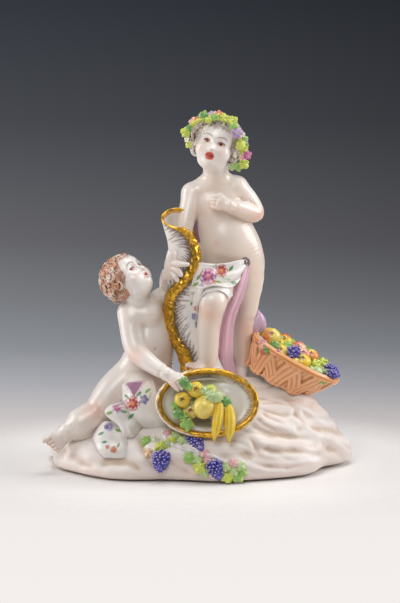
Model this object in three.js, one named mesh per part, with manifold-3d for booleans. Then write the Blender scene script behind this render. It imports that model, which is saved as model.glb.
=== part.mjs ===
// A porcelain figure group: a standing child with a wreath of flowers, a seated child, a horn of plenty,
// a woven basket of fruit, painted drapery and a rocky mound, joined in the clay and fired as one piece.
// Millimetres, +Z up. The viewer stands at -Y. The origin is in the middle of the flat underside.
import * as THREE from "three";
import { mergeVertices } from "three/addons/utils/BufferGeometryUtils.js";
import Module from "manifold-3d";

const wasm = await Module();
wasm.setup();

// Driving sizes
const HEAD = 35; // crown to chin of either child
const MOUND = { halfWidth: 104, halfDepth: 58 };
const MOUTH = { halfWidth: 34, halfHeight: 22.5, wall: 2.4 };
const BASKET = { length: 70, width: 48, depth: 25, wall: 2.6, tilt: 29.5 };
const LEAF = 11; // length of one vine leaf

const X = new THREE.Vector3(1, 0, 0);
const Y = new THREE.Vector3(0, 1, 0);
const Z = new THREE.Vector3(0, 0, 1);
const TURN = 2 * Math.PI;
const vec = (p) => (p.isVector3 ? p.clone() : new THREE.Vector3(...p));
const rad = THREE.MathUtils.degToRad;

/** A closed geometry as a solid. */
function solid(geometry) {
  const bare = geometry.clone();
  bare.deleteAttribute("normal");
  bare.deleteAttribute("uv");
  const merged = mergeVertices(bare, 1e-4);
  const mesh = new wasm.Mesh({
    numProp: 3,
    vertProperties: new Float32Array(merged.attributes.position.array),
    triVerts: new Uint32Array(merged.index.array),
  });
  return new wasm.Manifold(mesh);
}

/** A geometry from a list of points and a list of triangles. */
function geometryOf(points, triangles) {
  const geometry = new THREE.BufferGeometry();
  const flat = points.flatMap((p) => [p.x, p.y, p.z]);
  geometry.setAttribute("position", new THREE.Float32BufferAttribute(flat, 3));
  geometry.setIndex(triangles);
  return geometry;
}

/** An egg of clay: radii along its own axes, which turn gives as a quaternion. */
function ball(centre, radii, { turn = null, across = 10, down = 7 } = {}) {
  const geometry = new THREE.SphereGeometry(1, across, down);
  geometry.scale(...(Array.isArray(radii) ? radii : [radii, radii, radii]));
  if (turn) geometry.applyQuaternion(turn);
  geometry.translate(...vec(centre).toArray());
  return solid(geometry);
}

/** A thin lens with a pointed outline, lying square to its face direction, with its tip along way. */
function lens(outline, centre, way, face, rise) {
  const { turn } = frameOf(way, face);
  const rim = outline.map(([x, y]) => new THREE.Vector3(x, y, 0));
  const points = [...rim, new THREE.Vector3(0, 0, rise), new THREE.Vector3(0, 0, -rise)];
  const count = rim.length;
  const triangles = rim.flatMap((_, i) => {
    const next = (i + 1) % count;
    return [i, next, count, next, i, count + 1];
  });
  const geometry = geometryOf(points, triangles);
  geometry.applyQuaternion(turn).translate(...vec(centre).toArray());
  return solid(geometry);
}

/**
 * A round-ended roll of clay along a smooth line. Each girth is a radius or a pair: half the width along
 * the side direction, and half the depth square to it. The relief adds to the radius by angle and place.
 */
function roll(places, girths, { sides = 8, steps = 6, side = X, blunt = false, relief = null } = {}) {
  const line = new THREE.CatmullRomCurve3(places.map(vec));
  const girth = new THREE.CatmullRomCurve3(
    girths.map((g) => (Array.isArray(g) ? new THREE.Vector3(g[0], g[1], 0) : new THREE.Vector3(g, g, 0))),
  );
  const points = [];
  const rings = [];
  const ring = (t, along, shrink) => {
    const centre = line.getPoint(t);
    const ahead = line.getTangent(t);
    const size = girth.getPoint(t);
    const wide = side.clone().addScaledVector(ahead, -side.dot(ahead)).normalize();
    const deep = ahead.clone().cross(wide);
    centre.addScaledVector(ahead, along * Math.min(size.x, size.y));
    if (shrink === 0) return rings.push([points.push(centre) - 1]);
    const row = [];
    for (let i = 0; i < sides; i++) {
      const angle = (TURN * i) / sides;
      const swell = shrink * (1 + (relief ? relief(angle, t) : 0));
      const p = centre.clone();
      p.addScaledVector(wide, size.x * swell * Math.cos(angle));
      p.addScaledVector(deep, size.y * swell * Math.sin(angle));
      row.push(points.push(p) - 1);
    }
    return rings.push(row);
  };
  ring(0, blunt ? 0 : -1, 0);
  if (!blunt) ring(0, -0.7, 0.7);
  for (let k = 0; k <= steps; k++) ring(k / steps, 0, 1);
  if (!blunt) ring(1, 0.7, 0.7);
  ring(1, blunt ? 0 : 1, 0);
  const triangles = [];
  for (let k = 0; k + 1 < rings.length; k++) {
    const [low, high] = [rings[k], rings[k + 1]];
    for (let i = 0; i < sides; i++) {
      const j = (i + 1) % sides;
      if (low.length > 1) triangles.push(low[i], low[j], high[high.length > 1 ? j : 0]);
      if (high.length > 1) triangles.push(low[low.length > 1 ? i : 0], high[j], high[i]);
    }
  }
  return solid(geometryOf(points, triangles));
}

/**
 * A sheet of clay laid over guide lines. Each guide runs from one edge to the other, and the sheet runs
 * from the first guide to the last. The fold function gives its rise at (u, v), u from guide to guide.
 */
function sheet(guides, { thick = 2.4, along = 10, across = 8, fold = () => 0 } = {}) {
  const lines = guides.map((guide) => new THREE.CatmullRomCurve3(guide.map(vec)));
  const at = (u, v) => new THREE.CatmullRomCurve3(lines.map((line) => line.getPoint(v))).getPoint(u);
  const outer = [];
  const inner = [];
  const step = 0.02;
  for (let i = 0; i <= along; i++) {
    for (let j = 0; j <= across; j++) {
      const [u, v] = [i / along, j / across];
      const du = at(Math.min(1, u + step), v).sub(at(Math.max(0, u - step), v));
      const dv = at(u, Math.min(1, v + step)).sub(at(u, Math.max(0, v - step)));
      const out = du.cross(dv).normalize();
      const p = at(u, v);
      outer.push(p.clone().addScaledVector(out, fold(u, v) + thick / 2));
      inner.push(p.clone().addScaledVector(out, fold(u, v) - thick / 2));
    }
  }
  const points = [...outer, ...inner];
  const under = outer.length;
  const index = (i, j) => i * (across + 1) + j;
  const triangles = [];
  const quad = (a, b, c, d) => triangles.push(a, b, c, a, c, d);
  for (let i = 0; i < along; i++) {
    for (let j = 0; j < across; j++) {
      const [a, b, c, d] = [index(i, j), index(i + 1, j), index(i + 1, j + 1), index(i, j + 1)];
      quad(a, b, c, d);
      quad(under + a, under + d, under + c, under + b);
    }
  }
  for (let i = 0; i < along; i++) {
    quad(index(i + 1, 0), index(i, 0), under + index(i, 0), under + index(i + 1, 0));
    quad(index(i, across), index(i + 1, across), under + index(i + 1, across), under + index(i, across));
  }
  for (let j = 0; j < across; j++) {
    quad(index(0, j), index(0, j + 1), under + index(0, j + 1), under + index(0, j));
    quad(index(along, j + 1), index(along, j), under + index(along, j), under + index(along, j + 1));
  }
  return solid(geometryOf(points, triangles));
}

/** Joins solids into one. */
function fuse(solids) {
  return wasm.Manifold.union(solids.flat(Infinity));
}

/** The directions of a head, hand, leaf or basket: its right, forward and up, as columns of a matrix. */
function frameOf(forward, up) {
  const ahead = vec(forward).normalize();
  const right = ahead.clone().cross(vec(up)).normalize();
  const top = right.clone().cross(ahead);
  const basis = new THREE.Matrix4().makeBasis(right, ahead, top);
  const turn = new THREE.Quaternion().setFromRotationMatrix(basis);
  const place = (origin, x, y, z) =>
    vec(origin).addScaledVector(right, x).addScaledVector(ahead, y).addScaledVector(top, z);
  return { right, ahead, top, turn, place };
}

/** How far a ray from the origin along way reaches through an egg of clay. */
function reachOf([centre, radii], way) {
  const o = new THREE.Vector3(-centre[0] / radii[0], -centre[1] / radii[1], -centre[2] / radii[2]);
  const d = new THREE.Vector3(way.x / radii[0], way.y / radii[1], way.z / radii[2]);
  const [a, b, c] = [d.dot(d), 2 * o.dot(d), o.dot(o) - 1];
  const room = b * b - 4 * a * c;
  return room < 0 ? 0 : (-b + Math.sqrt(room)) / (2 * a);
}

/** The head of a child in shares of its height: skull, cheeks, jaw, chin, nose, ears and a cap of locks. */
function head(centre, forward, up) {
  const eggs = [
    [[0, -0.06, 0.08], [0.4, 0.44, 0.42]],
    [[0, 0.12, -0.18], [0.32, 0.3, 0.31]],
    [[0.16, 0.22, -0.19], [0.14, 0.14, 0.14]],
    [[-0.16, 0.22, -0.19], [0.14, 0.14, 0.14]],
    [[0, 0.27, -0.37], [0.12, 0.12, 0.12]],
    [[0, 0.36, -0.12], [0.08, 0.13, 0.09]],
    [[0.4, -0.04, -0.1], [0.06, 0.08, 0.1]],
    [[-0.4, -0.04, -0.1], [0.06, 0.08, 0.1]],
  ];
  const locks = [
    [[0, -0.08, 0.06], [0.53, 0.54, 0.48]],
    [[0, -0.2, -0.16], [0.5, 0.38, 0.38]],
  ];
  const [columns, rows] = [16, 10];
  const geometry = new THREE.SphereGeometry(1, columns, rows);
  geometry.rotateX(Math.PI / 2);
  const place = geometry.attributes.position;
  for (let i = 0; i < place.count; i++) {
    const way = new THREE.Vector3().fromBufferAttribute(place, i);
    const column = Math.round((Math.atan2(way.y, way.x) * columns) / TURN);
    const row = Math.round((Math.acos(THREE.MathUtils.clamp(way.z, -1, 1)) * rows) / Math.PI);
    const skin = Math.max(...eggs.map((egg) => reachOf(egg, way)));
    const covered = way.y < 0.2 + 0.55 * way.z && way.z > -0.7;
    const atPole = Math.abs(way.z) > 0.99;
    const waves = (column + row) % 2 ? 1.05 : 0.96;
    const hair = Math.max(...locks.map((lock) => reachOf(lock, way))) * (atPole ? 1 : waves);
    const reach = covered ? Math.max(skin, hair) : skin;
    place.setXYZ(i, ...way.multiplyScalar(reach * HEAD).toArray());
  }
  geometry.applyQuaternion(frameOf(forward, up).turn).translate(...vec(centre).toArray());
  return solid(geometry);
}

/** A roll from rows of [x, y, z, half width, half depth]. */
function trunk(rows, options) {
  return roll(rows.map((row) => row.slice(0, 3)), rows.map((row) => row.slice(3)), options);
}

/** A bent limb, with its rings turned to the plane of the bend. */
function limb(joints, girths, { sides = 8, steps = 6 } = {}) {
  const [start, ...rest] = joints.map(vec);
  const middle = rest[Math.floor((rest.length - 1) / 2)].clone();
  const end = rest[rest.length - 1].clone();
  const side = middle.clone().sub(start).cross(end.sub(middle)).normalize();
  return roll(joints, girths, { sides, steps, side });
}

/** A small plump hand: palm and fingers bent away from its back, and a thumb on the given side. */
function hand(wrist, reach, back, thumbSide, curl) {
  const { right, top, place } = frameOf(reach, back);
  const at = (x, y, z) => place(wrist, x, y, z);
  const fingertips = at(0, 16 - 4 * curl, -7 * curl);
  const line = [at(0, 0, 0), at(0, 5, 0.4), at(0, 9, 0), at(0, 12.5, -3 * curl), fingertips];
  const girths = [[3.6, 3.2], [5, 2.9], [5, 2.2], [4.6, 1.8], [3.2, 1.3]];
  const thumb = [at(thumbSide * 2.5, 3, 0), at(thumbSide * 6.5, 9, -1)];
  return [
    roll(line, girths, { sides: 6, steps: 4, side: right }),
    roll(thumb, [2.2, 1.4], { sides: 4, steps: 1, side: top }),
  ];
}

/** A bare foot: heel, instep and toes, pointing along toes with its sole away from topWay. */
function foot(ankle, toes, topWay) {
  const { right, place } = frameOf(toes, topWay);
  const stops = [[-3.5, -3.6], [2, -3.6], [8, -5], [14, -6.2], [18, -6.6]];
  const line = stops.map(([y, z]) => place(ankle, 0, y, z));
  const girths = [[4, 4.6], [4.8, 5], [5.2, 3.8], [5.8, 2.6], [5.2, 2]];
  return roll(line, girths, { sides: 7, side: right, steps: 3 });
}

// The standing child: the middle line of the trunk, and the joints of its pose
const STANDING_TRUNK = [
  [12, 10, 209, 7.6, 7.6], [12, 12, 202, 8.6, 8], [12.5, 12.5, 195, 15, 10], [15.5, 12, 183, 18, 12.2],
  [16, 11, 172, 18.2, 13], [19.8, 10, 161, 20.4, 14], [23.2, 10, 150, 22, 15.4], [24.6, 11.5, 138, 22.6, 16],
  [25.5, 12, 124, 19, 13.5],
];
const STANDING = {
  head: [14, 8, 227],
  gaze: [-0.16, -0.95, 0.24],
  crown: [0.3, 0.2, 0.93],
  shoulderR: [-3, 11.5, 190],
  elbowR: [-8, 0, 170],
  wristR: [-9, -4, 154],
  shoulderL: [27, 13, 194],
  elbowL: [39.5, 8, 177.5],
  wristL: [21.5, -5, 185.5],
  hipR: [16, 9, 131],
  kneeR: [11, -17, 118.5],
  ankleR: [7.6, -9, 85],
  hipL: [33.5, 13, 129],
  kneeL: [33.5, 11, 97],
  ankleL: [31, 13, 67],
};

/** Body, limbs and head of the standing child. */
function standingChild() {
  const pose = STANDING;
  const armL = [pose.shoulderL, [35.5, 11, 185], pose.elbowL, [31, 1, 181], pose.wristL];
  const legR = [pose.hipR, [14, -7, 127], pose.kneeR, [9, -14.5, 103], pose.ankleR];
  const legL = [pose.hipL, [35.3, 12, 112], pose.kneeL, [31.8, 12.5, 82], pose.ankleL];
  return [
    trunk(STANDING_TRUNK, { sides: 10, steps: 9 }),
    roll([pose.shoulderR, [13, 13, 197], pose.shoulderL], [7.6, 8, 8], { sides: 6, steps: 2, side: Z }),
    head(pose.head, pose.gaze, pose.crown),
    limb([pose.shoulderR, pose.elbowR, pose.wristR], [7.8, 5.8, 4.2], { sides: 6, steps: 5 }),
    limb(armL, [8.2, 7.2, 6.6, 5.9, 4.6], { sides: 6, steps: 6 }),
    hand(pose.wristL, [-0.9, -0.32, 0.2], [-0.2, -0.9, 0.15], 1, 0.3),
    limb(legR, [14, 11.6, 9, 8.2, 5.8], { sides: 7, steps: 7 }),
    foot(pose.ankleR, [-0.5, -0.8, -0.2], [-0.15, -0.15, 1]),
    roll(legL, [14, 10.8, 8.6, 7.6, 5.4], { sides: 7, steps: 5 }),
    foot(pose.ankleL, [-0.35, -0.93, -0.1], Z),
  ];
}

// The seated child: the middle line of the trunk, and the joints of its pose
const SEATED_TRUNK = [
  [-44, -9, 126, 7.4, 7.4], [-41.5, -8, 121, 8.2, 7.8], [-39, -7, 113, 14, 10], [-37.5, -6, 103, 16.2, 11.6],
  [-34, -6.5, 92, 16.4, 12.4], [-32.5, -7, 82, 16.4, 13.2], [-35.5, -5, 71, 18.4, 14.4],
  [-39, -4, 58, 16.5, 13],
];
const SEATED = {
  head: [-48.5, -12, 136.3],
  gaze: [0.5, -0.42, 0.76],
  crown: [-0.66, 0.35, 0.66],
  shoulderR: [-47.5, -9, 110],
  elbowR: [-43, -22, 84],
  wristR: [-21, -42, 73],
  shoulderL: [-32, -3, 114],
  elbowL: [-21, 9, 120.5],
  wristL: [-21.5, -4, 138],
  hipR: [-50, -5, 62.5],
  kneeR: [-72.4, -14, 41],
  ankleR: [-94.5, -19, 27],
  hipL: [-36, -9, 60],
  kneeL: [-29, -36, 50],
  ankleL: [-20, -32, 36],
};

/** Body, limbs and head of the seated child. */
function seatedChild() {
  const pose = SEATED;
  const armR = [pose.shoulderR, pose.elbowR, [-33, -33, 77.5], pose.wristR];
  const armL = [pose.shoulderL, pose.elbowL, [-20.5, 4, 130], pose.wristL];
  const legR = [pose.hipR, pose.kneeR, [-84.5, -17, 33], pose.ankleR];
  return [
    trunk(SEATED_TRUNK, { sides: 10, steps: 8 }),
    head(pose.head, pose.gaze, pose.crown),
    limb(armR, [8.6, 7.8, 6.2, 4.8], { sides: 7, steps: 6 }),
    hand(pose.wristR, [0.78, -0.42, -0.45], [0.2, -0.75, 0.62], -1, 0.35),
    limb(armL, [7.8, 6.8, 6, 4.4], { sides: 6, steps: 5 }),
    hand(pose.wristL, [0.62, -0.62, 0.48], [-0.6, -0.75, 0.1], -1, 0.4),
    roll(legR, [12.8, 9.6, 9.8, 5.4], { sides: 8, steps: 6, side: Y }),
    foot(pose.ankleR, [-0.49, -0.82, -0.28], [0.6, -0.55, 0.55]),
    limb([pose.hipL, pose.kneeL, pose.ankleL], [13, 10.4, 7], { sides: 7, steps: 3 }),
  ];
}

// The horn: its middle line from the mouth, up behind the children's hands to an open lip
const HORN_LINE = [
  [7, -42, 53.5], [7, -29, 50], [6.5, -18, 57], [4, -12, 68], [0.5, -9, 80], [-5, -7, 92], [-9.2, -5, 106],
  [-9.5, -4, 120], [-9, -4, 134], [-9, -3.5, 148], [-10.5, -3.5, 160], [-12.8, -6, 170], [-13.4, -9, 176],
];
const HORN_GIRTH = [
  [MOUTH.halfWidth, MOUTH.halfHeight], [26, 20], [19, 17], [14.5, 14.5], [12.6, 12.8], [12.4, 12.4],
  [12.4, 12], [12, 11.6], [11.6, 11], [11, 10.4], [10, 9.6], [10.4, 9.8], [11.6, 10.8],
];

// The ridge on the front of the horn: shares of the line, with its bearing in degrees from the right
const RIDGE = [
  [0, 100], [0.2, 95], [0.36, 120], [0.48, 165], [0.6, 105], [0.72, 15], [0.84, 20], [0.92, 80], [1, 165],
];
const RIDGE_HALF_ANGLE = rad(38);

/** The bearing of the ridge round the horn at t. */
function ridgeBearing(t) {
  const next = Math.max(1, RIDGE.findIndex(([stop]) => stop >= t));
  const [[t0, a0], [t1, a1]] = [RIDGE[next - 1], RIDGE[next]];
  return rad(a0 + ((a1 - a0) * (t - t0)) / (t1 - t0));
}

/** The horn of plenty, with the ridge that winds down its front, its hollow mouth and its open lip. */
function horn() {
  const relief = (angle, t) => {
    const off = angle + ridgeBearing(t);
    const apart = Math.abs(Math.atan2(Math.sin(off), Math.cos(off)));
    const rise = t < 0.15 ? 0.06 : 0.2;
    return rise * Math.max(0, 1 - apart / RIDGE_HALF_ANGLE);
  };
  const body = roll(HORN_LINE, HORN_GIRTH, { sides: 12, steps: 14, blunt: true, relief });
  const line = new THREE.CatmullRomCurve3(HORN_LINE.map(vec));
  const last = HORN_LINE.length - 1;
  const inside = (girth, wall) => girth.map((g) => g - wall);
  const outOfMouth = vec(HORN_LINE[0]).addScaledVector(line.getTangent(0), -4);
  const mouth = roll(
    [outOfMouth, HORN_LINE[0], HORN_LINE[1], HORN_LINE[2]],
    [HORN_GIRTH[0], inside(HORN_GIRTH[0], MOUTH.wall), inside(HORN_GIRTH[1], 3), [12, 10]],
    { sides: 12, steps: 3, blunt: true },
  );
  const outOfLip = vec(HORN_LINE[last]).addScaledVector(line.getTangent(1), 4);
  const lip = roll(
    [outOfLip, HORN_LINE[last], HORN_LINE[last - 1]],
    [HORN_GIRTH[last], inside(HORN_GIRTH[last], 2), [7, 6.5]],
    { sides: 8, steps: 2, blunt: true },
  );
  return body.subtract(mouth).subtract(lip);
}

// Height of the rock at shares of the way out from its middle, by heading in steps of 45 degrees from +X
const SHARES = [0, 0.25, 0.5, 0.75, 0.9, 1];
const HEIGHTS = [
  [62, 64, 57, 50, 34, 17], [62, 62, 54, 42, 28, 14], [62, 60, 50, 34, 22, 11], [62, 56, 46, 32, 20, 10],
  [62, 56, 48, 31, 19, 9], [62, 54, 43, 28, 21, 10], [62, 57, 40, 31, 25, 11], [62, 60, 52, 40, 26, 13],
];

/** The height of the rock's top at (x, y), before its strata. */
function rockHeight(x, y) {
  const share = Math.min(0.9999, Math.hypot(x / MOUND.halfWidth, y / MOUND.halfDepth));
  const heading = (((Math.atan2(y / MOUND.halfDepth, x / MOUND.halfWidth) / TURN) * 8 + 8) % 8);
  const step = SHARES.findIndex((stop) => stop > share) - 1;
  const t = (share - SHARES[step]) / (SHARES[step + 1] - SHARES[step]);
  const along = (row) => THREE.MathUtils.lerp(row[step], row[step + 1], t);
  const first = Math.floor(heading);
  const mix = THREE.MathUtils.smoothstep(heading - first, 0, 1);
  return THREE.MathUtils.lerp(along(HEIGHTS[first % 8]), along(HEIGHTS[(first + 1) % 8]), mix);
}

/** The place on the front of the rock at x whose height is z, moved out by a little. */
function onFront(x, z, out = 0) {
  let [low, high] = [-MOUND.halfDepth * Math.sqrt(1 - (x / MOUND.halfWidth) ** 2), 0];
  for (let i = 0; i < 20; i++) {
    const middle = (low + high) / 2;
    if (rockHeight(x, middle) < z) low = middle;
    else high = middle;
  }
  return [x, low - out, z + out * 0.5];
}

/** The mound: a lobed oval with a low foot, a flat underside and slanting strata. */
function mound() {
  const columns = 26;
  const shares = [0.985, 1.01, 0.96, 0.86, 0.73, 0.58, 0.4, 0.2];
  const points = [new THREE.Vector3()];
  const triangles = [];
  shares.forEach((share, row) => {
    for (let i = 0; i < columns; i++) {
      const angle = (TURN * (i + 0.5 * (row % 2))) / columns;
      const lobes = 1 + 0.03 * Math.sin(5 * angle + 0.6) + 0.02 * Math.sin(9 * angle + 2);
      const x = MOUND.halfWidth * share * lobes * Math.cos(angle);
      const y = MOUND.halfDepth * share * lobes * Math.sin(angle);
      const top = rockHeight(x, y);
      const strata = row > 1 ? 1.4 * Math.sin(TURN * (top / 11 + x / 60)) : 0;
      const z = row === 0 ? 0 : row === 1 ? top * 0.6 : top + strata;
      const at = points.push(new THREE.Vector3(x, y, z)) - 1;
      const next = i === columns - 1 ? at + 1 - columns : at + 1;
      if (row === 0) {
        triangles.push(0, next, at);
        continue;
      }
      const [low, lowNext] = [at - columns, next - columns];
      if (row % 2) triangles.push(low, lowNext, at, lowNext, next, at);
      else triangles.push(low, lowNext, next, low, next, at);
    }
  });
  const peak = points.push(new THREE.Vector3(0, 0, rockHeight(0, 0))) - 1;
  const last = peak - columns;
  for (let i = 0; i < columns; i++) triangles.push(last + i, last + ((i + 1) % columns), peak);
  return solid(geometryOf(points, triangles));
}

// The basket's own directions: its length slopes down to the viewer's right
const BASKET_FRAME = frameOf(Y, [Math.sin(rad(BASKET.tilt)), 0, Math.cos(rad(BASKET.tilt))]);
const BASKET_RIM = [68, 6, 74];
const BASKET_OPENINGS = [[216, -9], [243, -15], [270, -9], [297, -15], [324, -9]];

/** The woven basket, hollow under its heap of fruit, with openings between its bands. */
function basket() {
  const { place, turn, right } = BASKET_FRAME;
  const at = (x, y, z) => place(BASKET_RIM, x, y, z);
  const shell = (grow, low, high, steps, relief) => {
    const line = [at(-4, 0, low), at(-2, 0, (low + high) / 2), at(0, 0, high)];
    const shares = [0.34, 0.43, 0.5];
    const girths = shares.map((share) => [BASKET.length * share + grow, BASKET.width * share + grow]);
    return roll(line, girths, { sides: 16, steps, blunt: true, side: right, relief });
  };
  const weave = (angle, t) => 0.03 * Math.cos(8 * angle) * Math.cos(TURN * 2 * t);
  const outer = shell(0, -BASKET.depth, 0, 3, weave);
  const inner = shell(-BASKET.wall, -BASKET.depth + BASKET.wall, 3, 1, null);
  let made = outer.subtract(inner);
  for (const [angle, low] of BASKET_OPENINGS) {
    const x = BASKET.length * 0.46 * Math.cos(rad(angle)) - 2;
    const y = BASKET.width * 0.46 * Math.sin(rad(angle));
    made = made.subtract(ball(at(x, y, low), [3.2, 6, 2.6], { turn, across: 4, down: 2 }));
  }
  const edge = new THREE.TorusGeometry(1, 0.07, 4, 16);
  edge.scale(BASKET.length * 0.49, BASKET.width * 0.49, 28);
  edge.applyQuaternion(turn).translate(...at(0, 0, 0.4).toArray());
  return [made, solid(edge)];
}

/** A bunch of grapes, knobbly all over, hanging from its first point to its last. */
function bunch(from, to, wide) {
  const [start, end] = [vec(from), vec(to)];
  const way = end.clone().sub(start);
  const [columns, rows] = [6, 6];
  const geometry = new THREE.SphereGeometry(1, columns, rows);
  geometry.rotateX(Math.PI / 2);
  const place = geometry.attributes.position;
  for (let i = 0; i < place.count; i++) {
    const [x, y, z] = [place.getX(i), place.getY(i), place.getZ(i)];
    const column = Math.round((Math.atan2(y, x) * columns) / TURN);
    const row = Math.round((Math.acos(THREE.MathUtils.clamp(z, -1, 1)) * rows) / Math.PI);
    const knob = (column + row) % 2 ? 1.1 : 0.84;
    const taper = 1 + 0.28 * z;
    place.setXYZ(i, x * wide * knob * taper, y * wide * 0.75 * knob * taper, z * way.length() * 0.62);
  }
  const middle = start.lerp(end, 0.5);
  geometry.applyQuaternion(frameOf([0, -0.8, 0.6], way.negate()).turn).translate(...middle.toArray());
  return solid(geometry);
}

/** A lobed leaf. */
function leaf(centre, way, face, size = LEAF) {
  const lobes = [[0, -0.5], [0.42, -0.3], [0.24, -0.04], [0.46, 0.16], [0, 0.55]];
  const outline = [...lobes, ...lobes.slice(1, -1).reverse().map(([x, y]) => [-x, y])];
  return lens(outline.map(([x, y]) => [x * size, y * size]), centre, way, face, size * 0.17);
}

/** A small open flower with five petals. */
function flower(centre, face, size) {
  const outline = Array.from({ length: 10 }, (_, i) => {
    const reach = size * (i % 2 ? 0.66 : 1);
    return [reach * Math.cos((TURN * i) / 10), reach * Math.sin((TURN * i) / 10)];
  });
  const side = Math.abs(vec(face).normalize().z) > 0.9 ? Y : Z;
  return lens(outline, centre, vec(face).cross(side), face, size * 0.45);
}

/** The wreath of leaves and flowers over the standing child's head, from nape to nape. */
function wreath() {
  const { place, right, top } = frameOf(STANDING.gaze, STANDING.crown);
  const parts = [];
  const count = 12;
  const end = 135;
  for (let i = 0; i < count; i++) {
    const degrees = -end + (2 * end * i) / (count - 1);
    const angle = rad(degrees);
    const [x, y, z] = [0.6 * Math.sin(angle), -0.06 + 0.16 * Math.cos(angle), 0.03 + 0.5 * Math.cos(angle)];
    const centre = place(STANDING.head, x * HEAD, y * HEAD, z * HEAD);
    const face = centre.clone().sub(place(STANDING.head, 0, -0.25 * HEAD, 0)).normalize();
    const along = right.clone().multiplyScalar(Math.cos(angle)).addScaledVector(top, -Math.sin(angle));
    if (i % 2) parts.push(flower(centre, face, 4.8));
    else parts.push(leaf(centre, along, face));
  }
  return parts;
}

// Fruit in the horn as [x, y, z, radius], with leaves as [place, way, face]
const HORN_FRUIT = [
  [-0.2, -46, 61.5, 6], [-10.4, -46, 55, 6], [6.5, -49, 51.5, 9], [-3, -46, 46, 7], [14, -45, 57, 5.5],
];
const HORN_LEAVES = [
  [[-9.5, -49, 65], [0.2, 0, 1], [0, -0.95, 0.3]],
  [[11, -50, 61], [1, 0, 0.2], [0.1, -0.9, 0.4]],
  [[20, -47, 55], [1, 0, -0.8], [0.3, -0.9, 0.3]],
  [[-13, -44, 45], [-0.4, -0.2, -1], [-0.3, -0.95, 0.2]],
  [[-6, -45, 38.5], [0.4, -0.3, -1], [-0.1, -0.95, 0.3]],
];
const CORN_EARS = [
  [[14, -50, 52], [14.5, -55, 42], [12.5, -57, 31]],
  [[23, -48, 53], [24, -54, 41], [21, -57, 27]],
];

// Fruit in the basket in the basket's own directions, as [x, y, z, radius], and its leaves and grapes
const BASKET_FRUIT = [
  [-20, -2, 2, 8.5], [-8, -8, 0, 7], [-10, 9, 1, 7.5], [5, -8, 1, 7.5], [4, 8, 0, 8], [16, 0, 1, 7],
  [-24, 11, -1, 6],
];
const BASKET_LEAVES = [
  [[-13, -10.5, 5], [1, -0.3, 0.8], [0.1, -0.8, 0.6]],
  [[18.5, -5.5, 2.5], [1, 0, -0.7], [0.3, -0.8, 0.5]],
  [[12, -11, 2.5], [1, -0.4, -0.9], [0.2, -0.9, 0.4]],
  [[1, 4, 5], [1, 0, 0.2], [0.3, -0.4, 0.9]],
];
const BASKET_GRAPES = [[[3, -10, 9], [-3, -15, 1], 4.6], [[21, -2, 5], [35, -5, 2], 5.6]];

/** The fruit in the mouth of the horn, on a heap that carries it, with two ears of corn over the rim. */
function hornFruit() {
  const heap = ball([0, -35, 47], [20, 15, 13], { across: 8, down: 5 });
  const fruit = HORN_FRUIT.map(([x, y, z, r]) => ball([x, y, z], [r, r, r * 0.94], { across: 6, down: 4 }));
  const leaves = HORN_LEAVES.map(([spot, way, face]) => leaf(spot, way, face));
  const ears = CORN_EARS.map((ear) => roll(ear, [3, 4.4, 2.6], { sides: 6, steps: 3 }));
  return [heap, fruit, leaves, ears];
}

/** The fruit in the basket, on a heap that carries it. */
function basketFruit() {
  const { place, turn } = BASKET_FRAME;
  const at = ([x, y, z]) => place(BASKET_RIM, x, y, z);
  const share = 0.42;
  const radii = [BASKET.length * share, BASKET.width * share, 11];
  return [
    ball(at([-2, 0, -9]), radii, { turn, across: 8, down: 4 }),
    BASKET_FRUIT.map(([x, y, z, r]) => ball(at([x, y, z]), r, { across: 6, down: 3 })),
    BASKET_LEAVES.map(([spot, way, face]) => leaf(at(spot), way, face, 9)),
    BASKET_GRAPES.map(([from, to, wide]) => bunch(at(from), at(to), wide)),
  ];
}

// The vine on the front of the mound, as [x, z]: its stem, its bunches with their widths, its leaves
const VINE_STEM = [[-34, 29], [-22, 33], [-13, 26], [1, 24], [14, 18], [24, 14]];
const VINE_BUNCHES = [[[-22, 24], [-20, 8], 6], [[-7, 35], [3.5, 24], 6], [[7.7, 15.5], [17, 6.5], 5.6]];
const VINE_LEAVES = [
  [-33, 28, -0.8], [-25, 27, 0.4], [-20, 32, -0.5], [-5, 20, -0.9], [3.5, 14, 0.1], [24, 15, 0.9],
  [28, 8, 0.6],
];

/** The vine: a stem, three bunches and their leaves, which lean to one side or the other. */
function vine() {
  const stem = VINE_STEM.map(([x, z]) => onFront(x, z, 0.5));
  return [
    roll(stem, stem.map(() => 1.2), { sides: 4, steps: 8, side: Z }),
    VINE_BUNCHES.map(([from, to, wide]) => bunch(onFront(...from, 1), onFront(...to, 2), wide)),
    VINE_LEAVES.map(([x, z, lean]) => leaf(onFront(x, z, 1), [lean, -0.3, -0.6], [0, -0.85, 0.5])),
  ];
}

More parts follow.
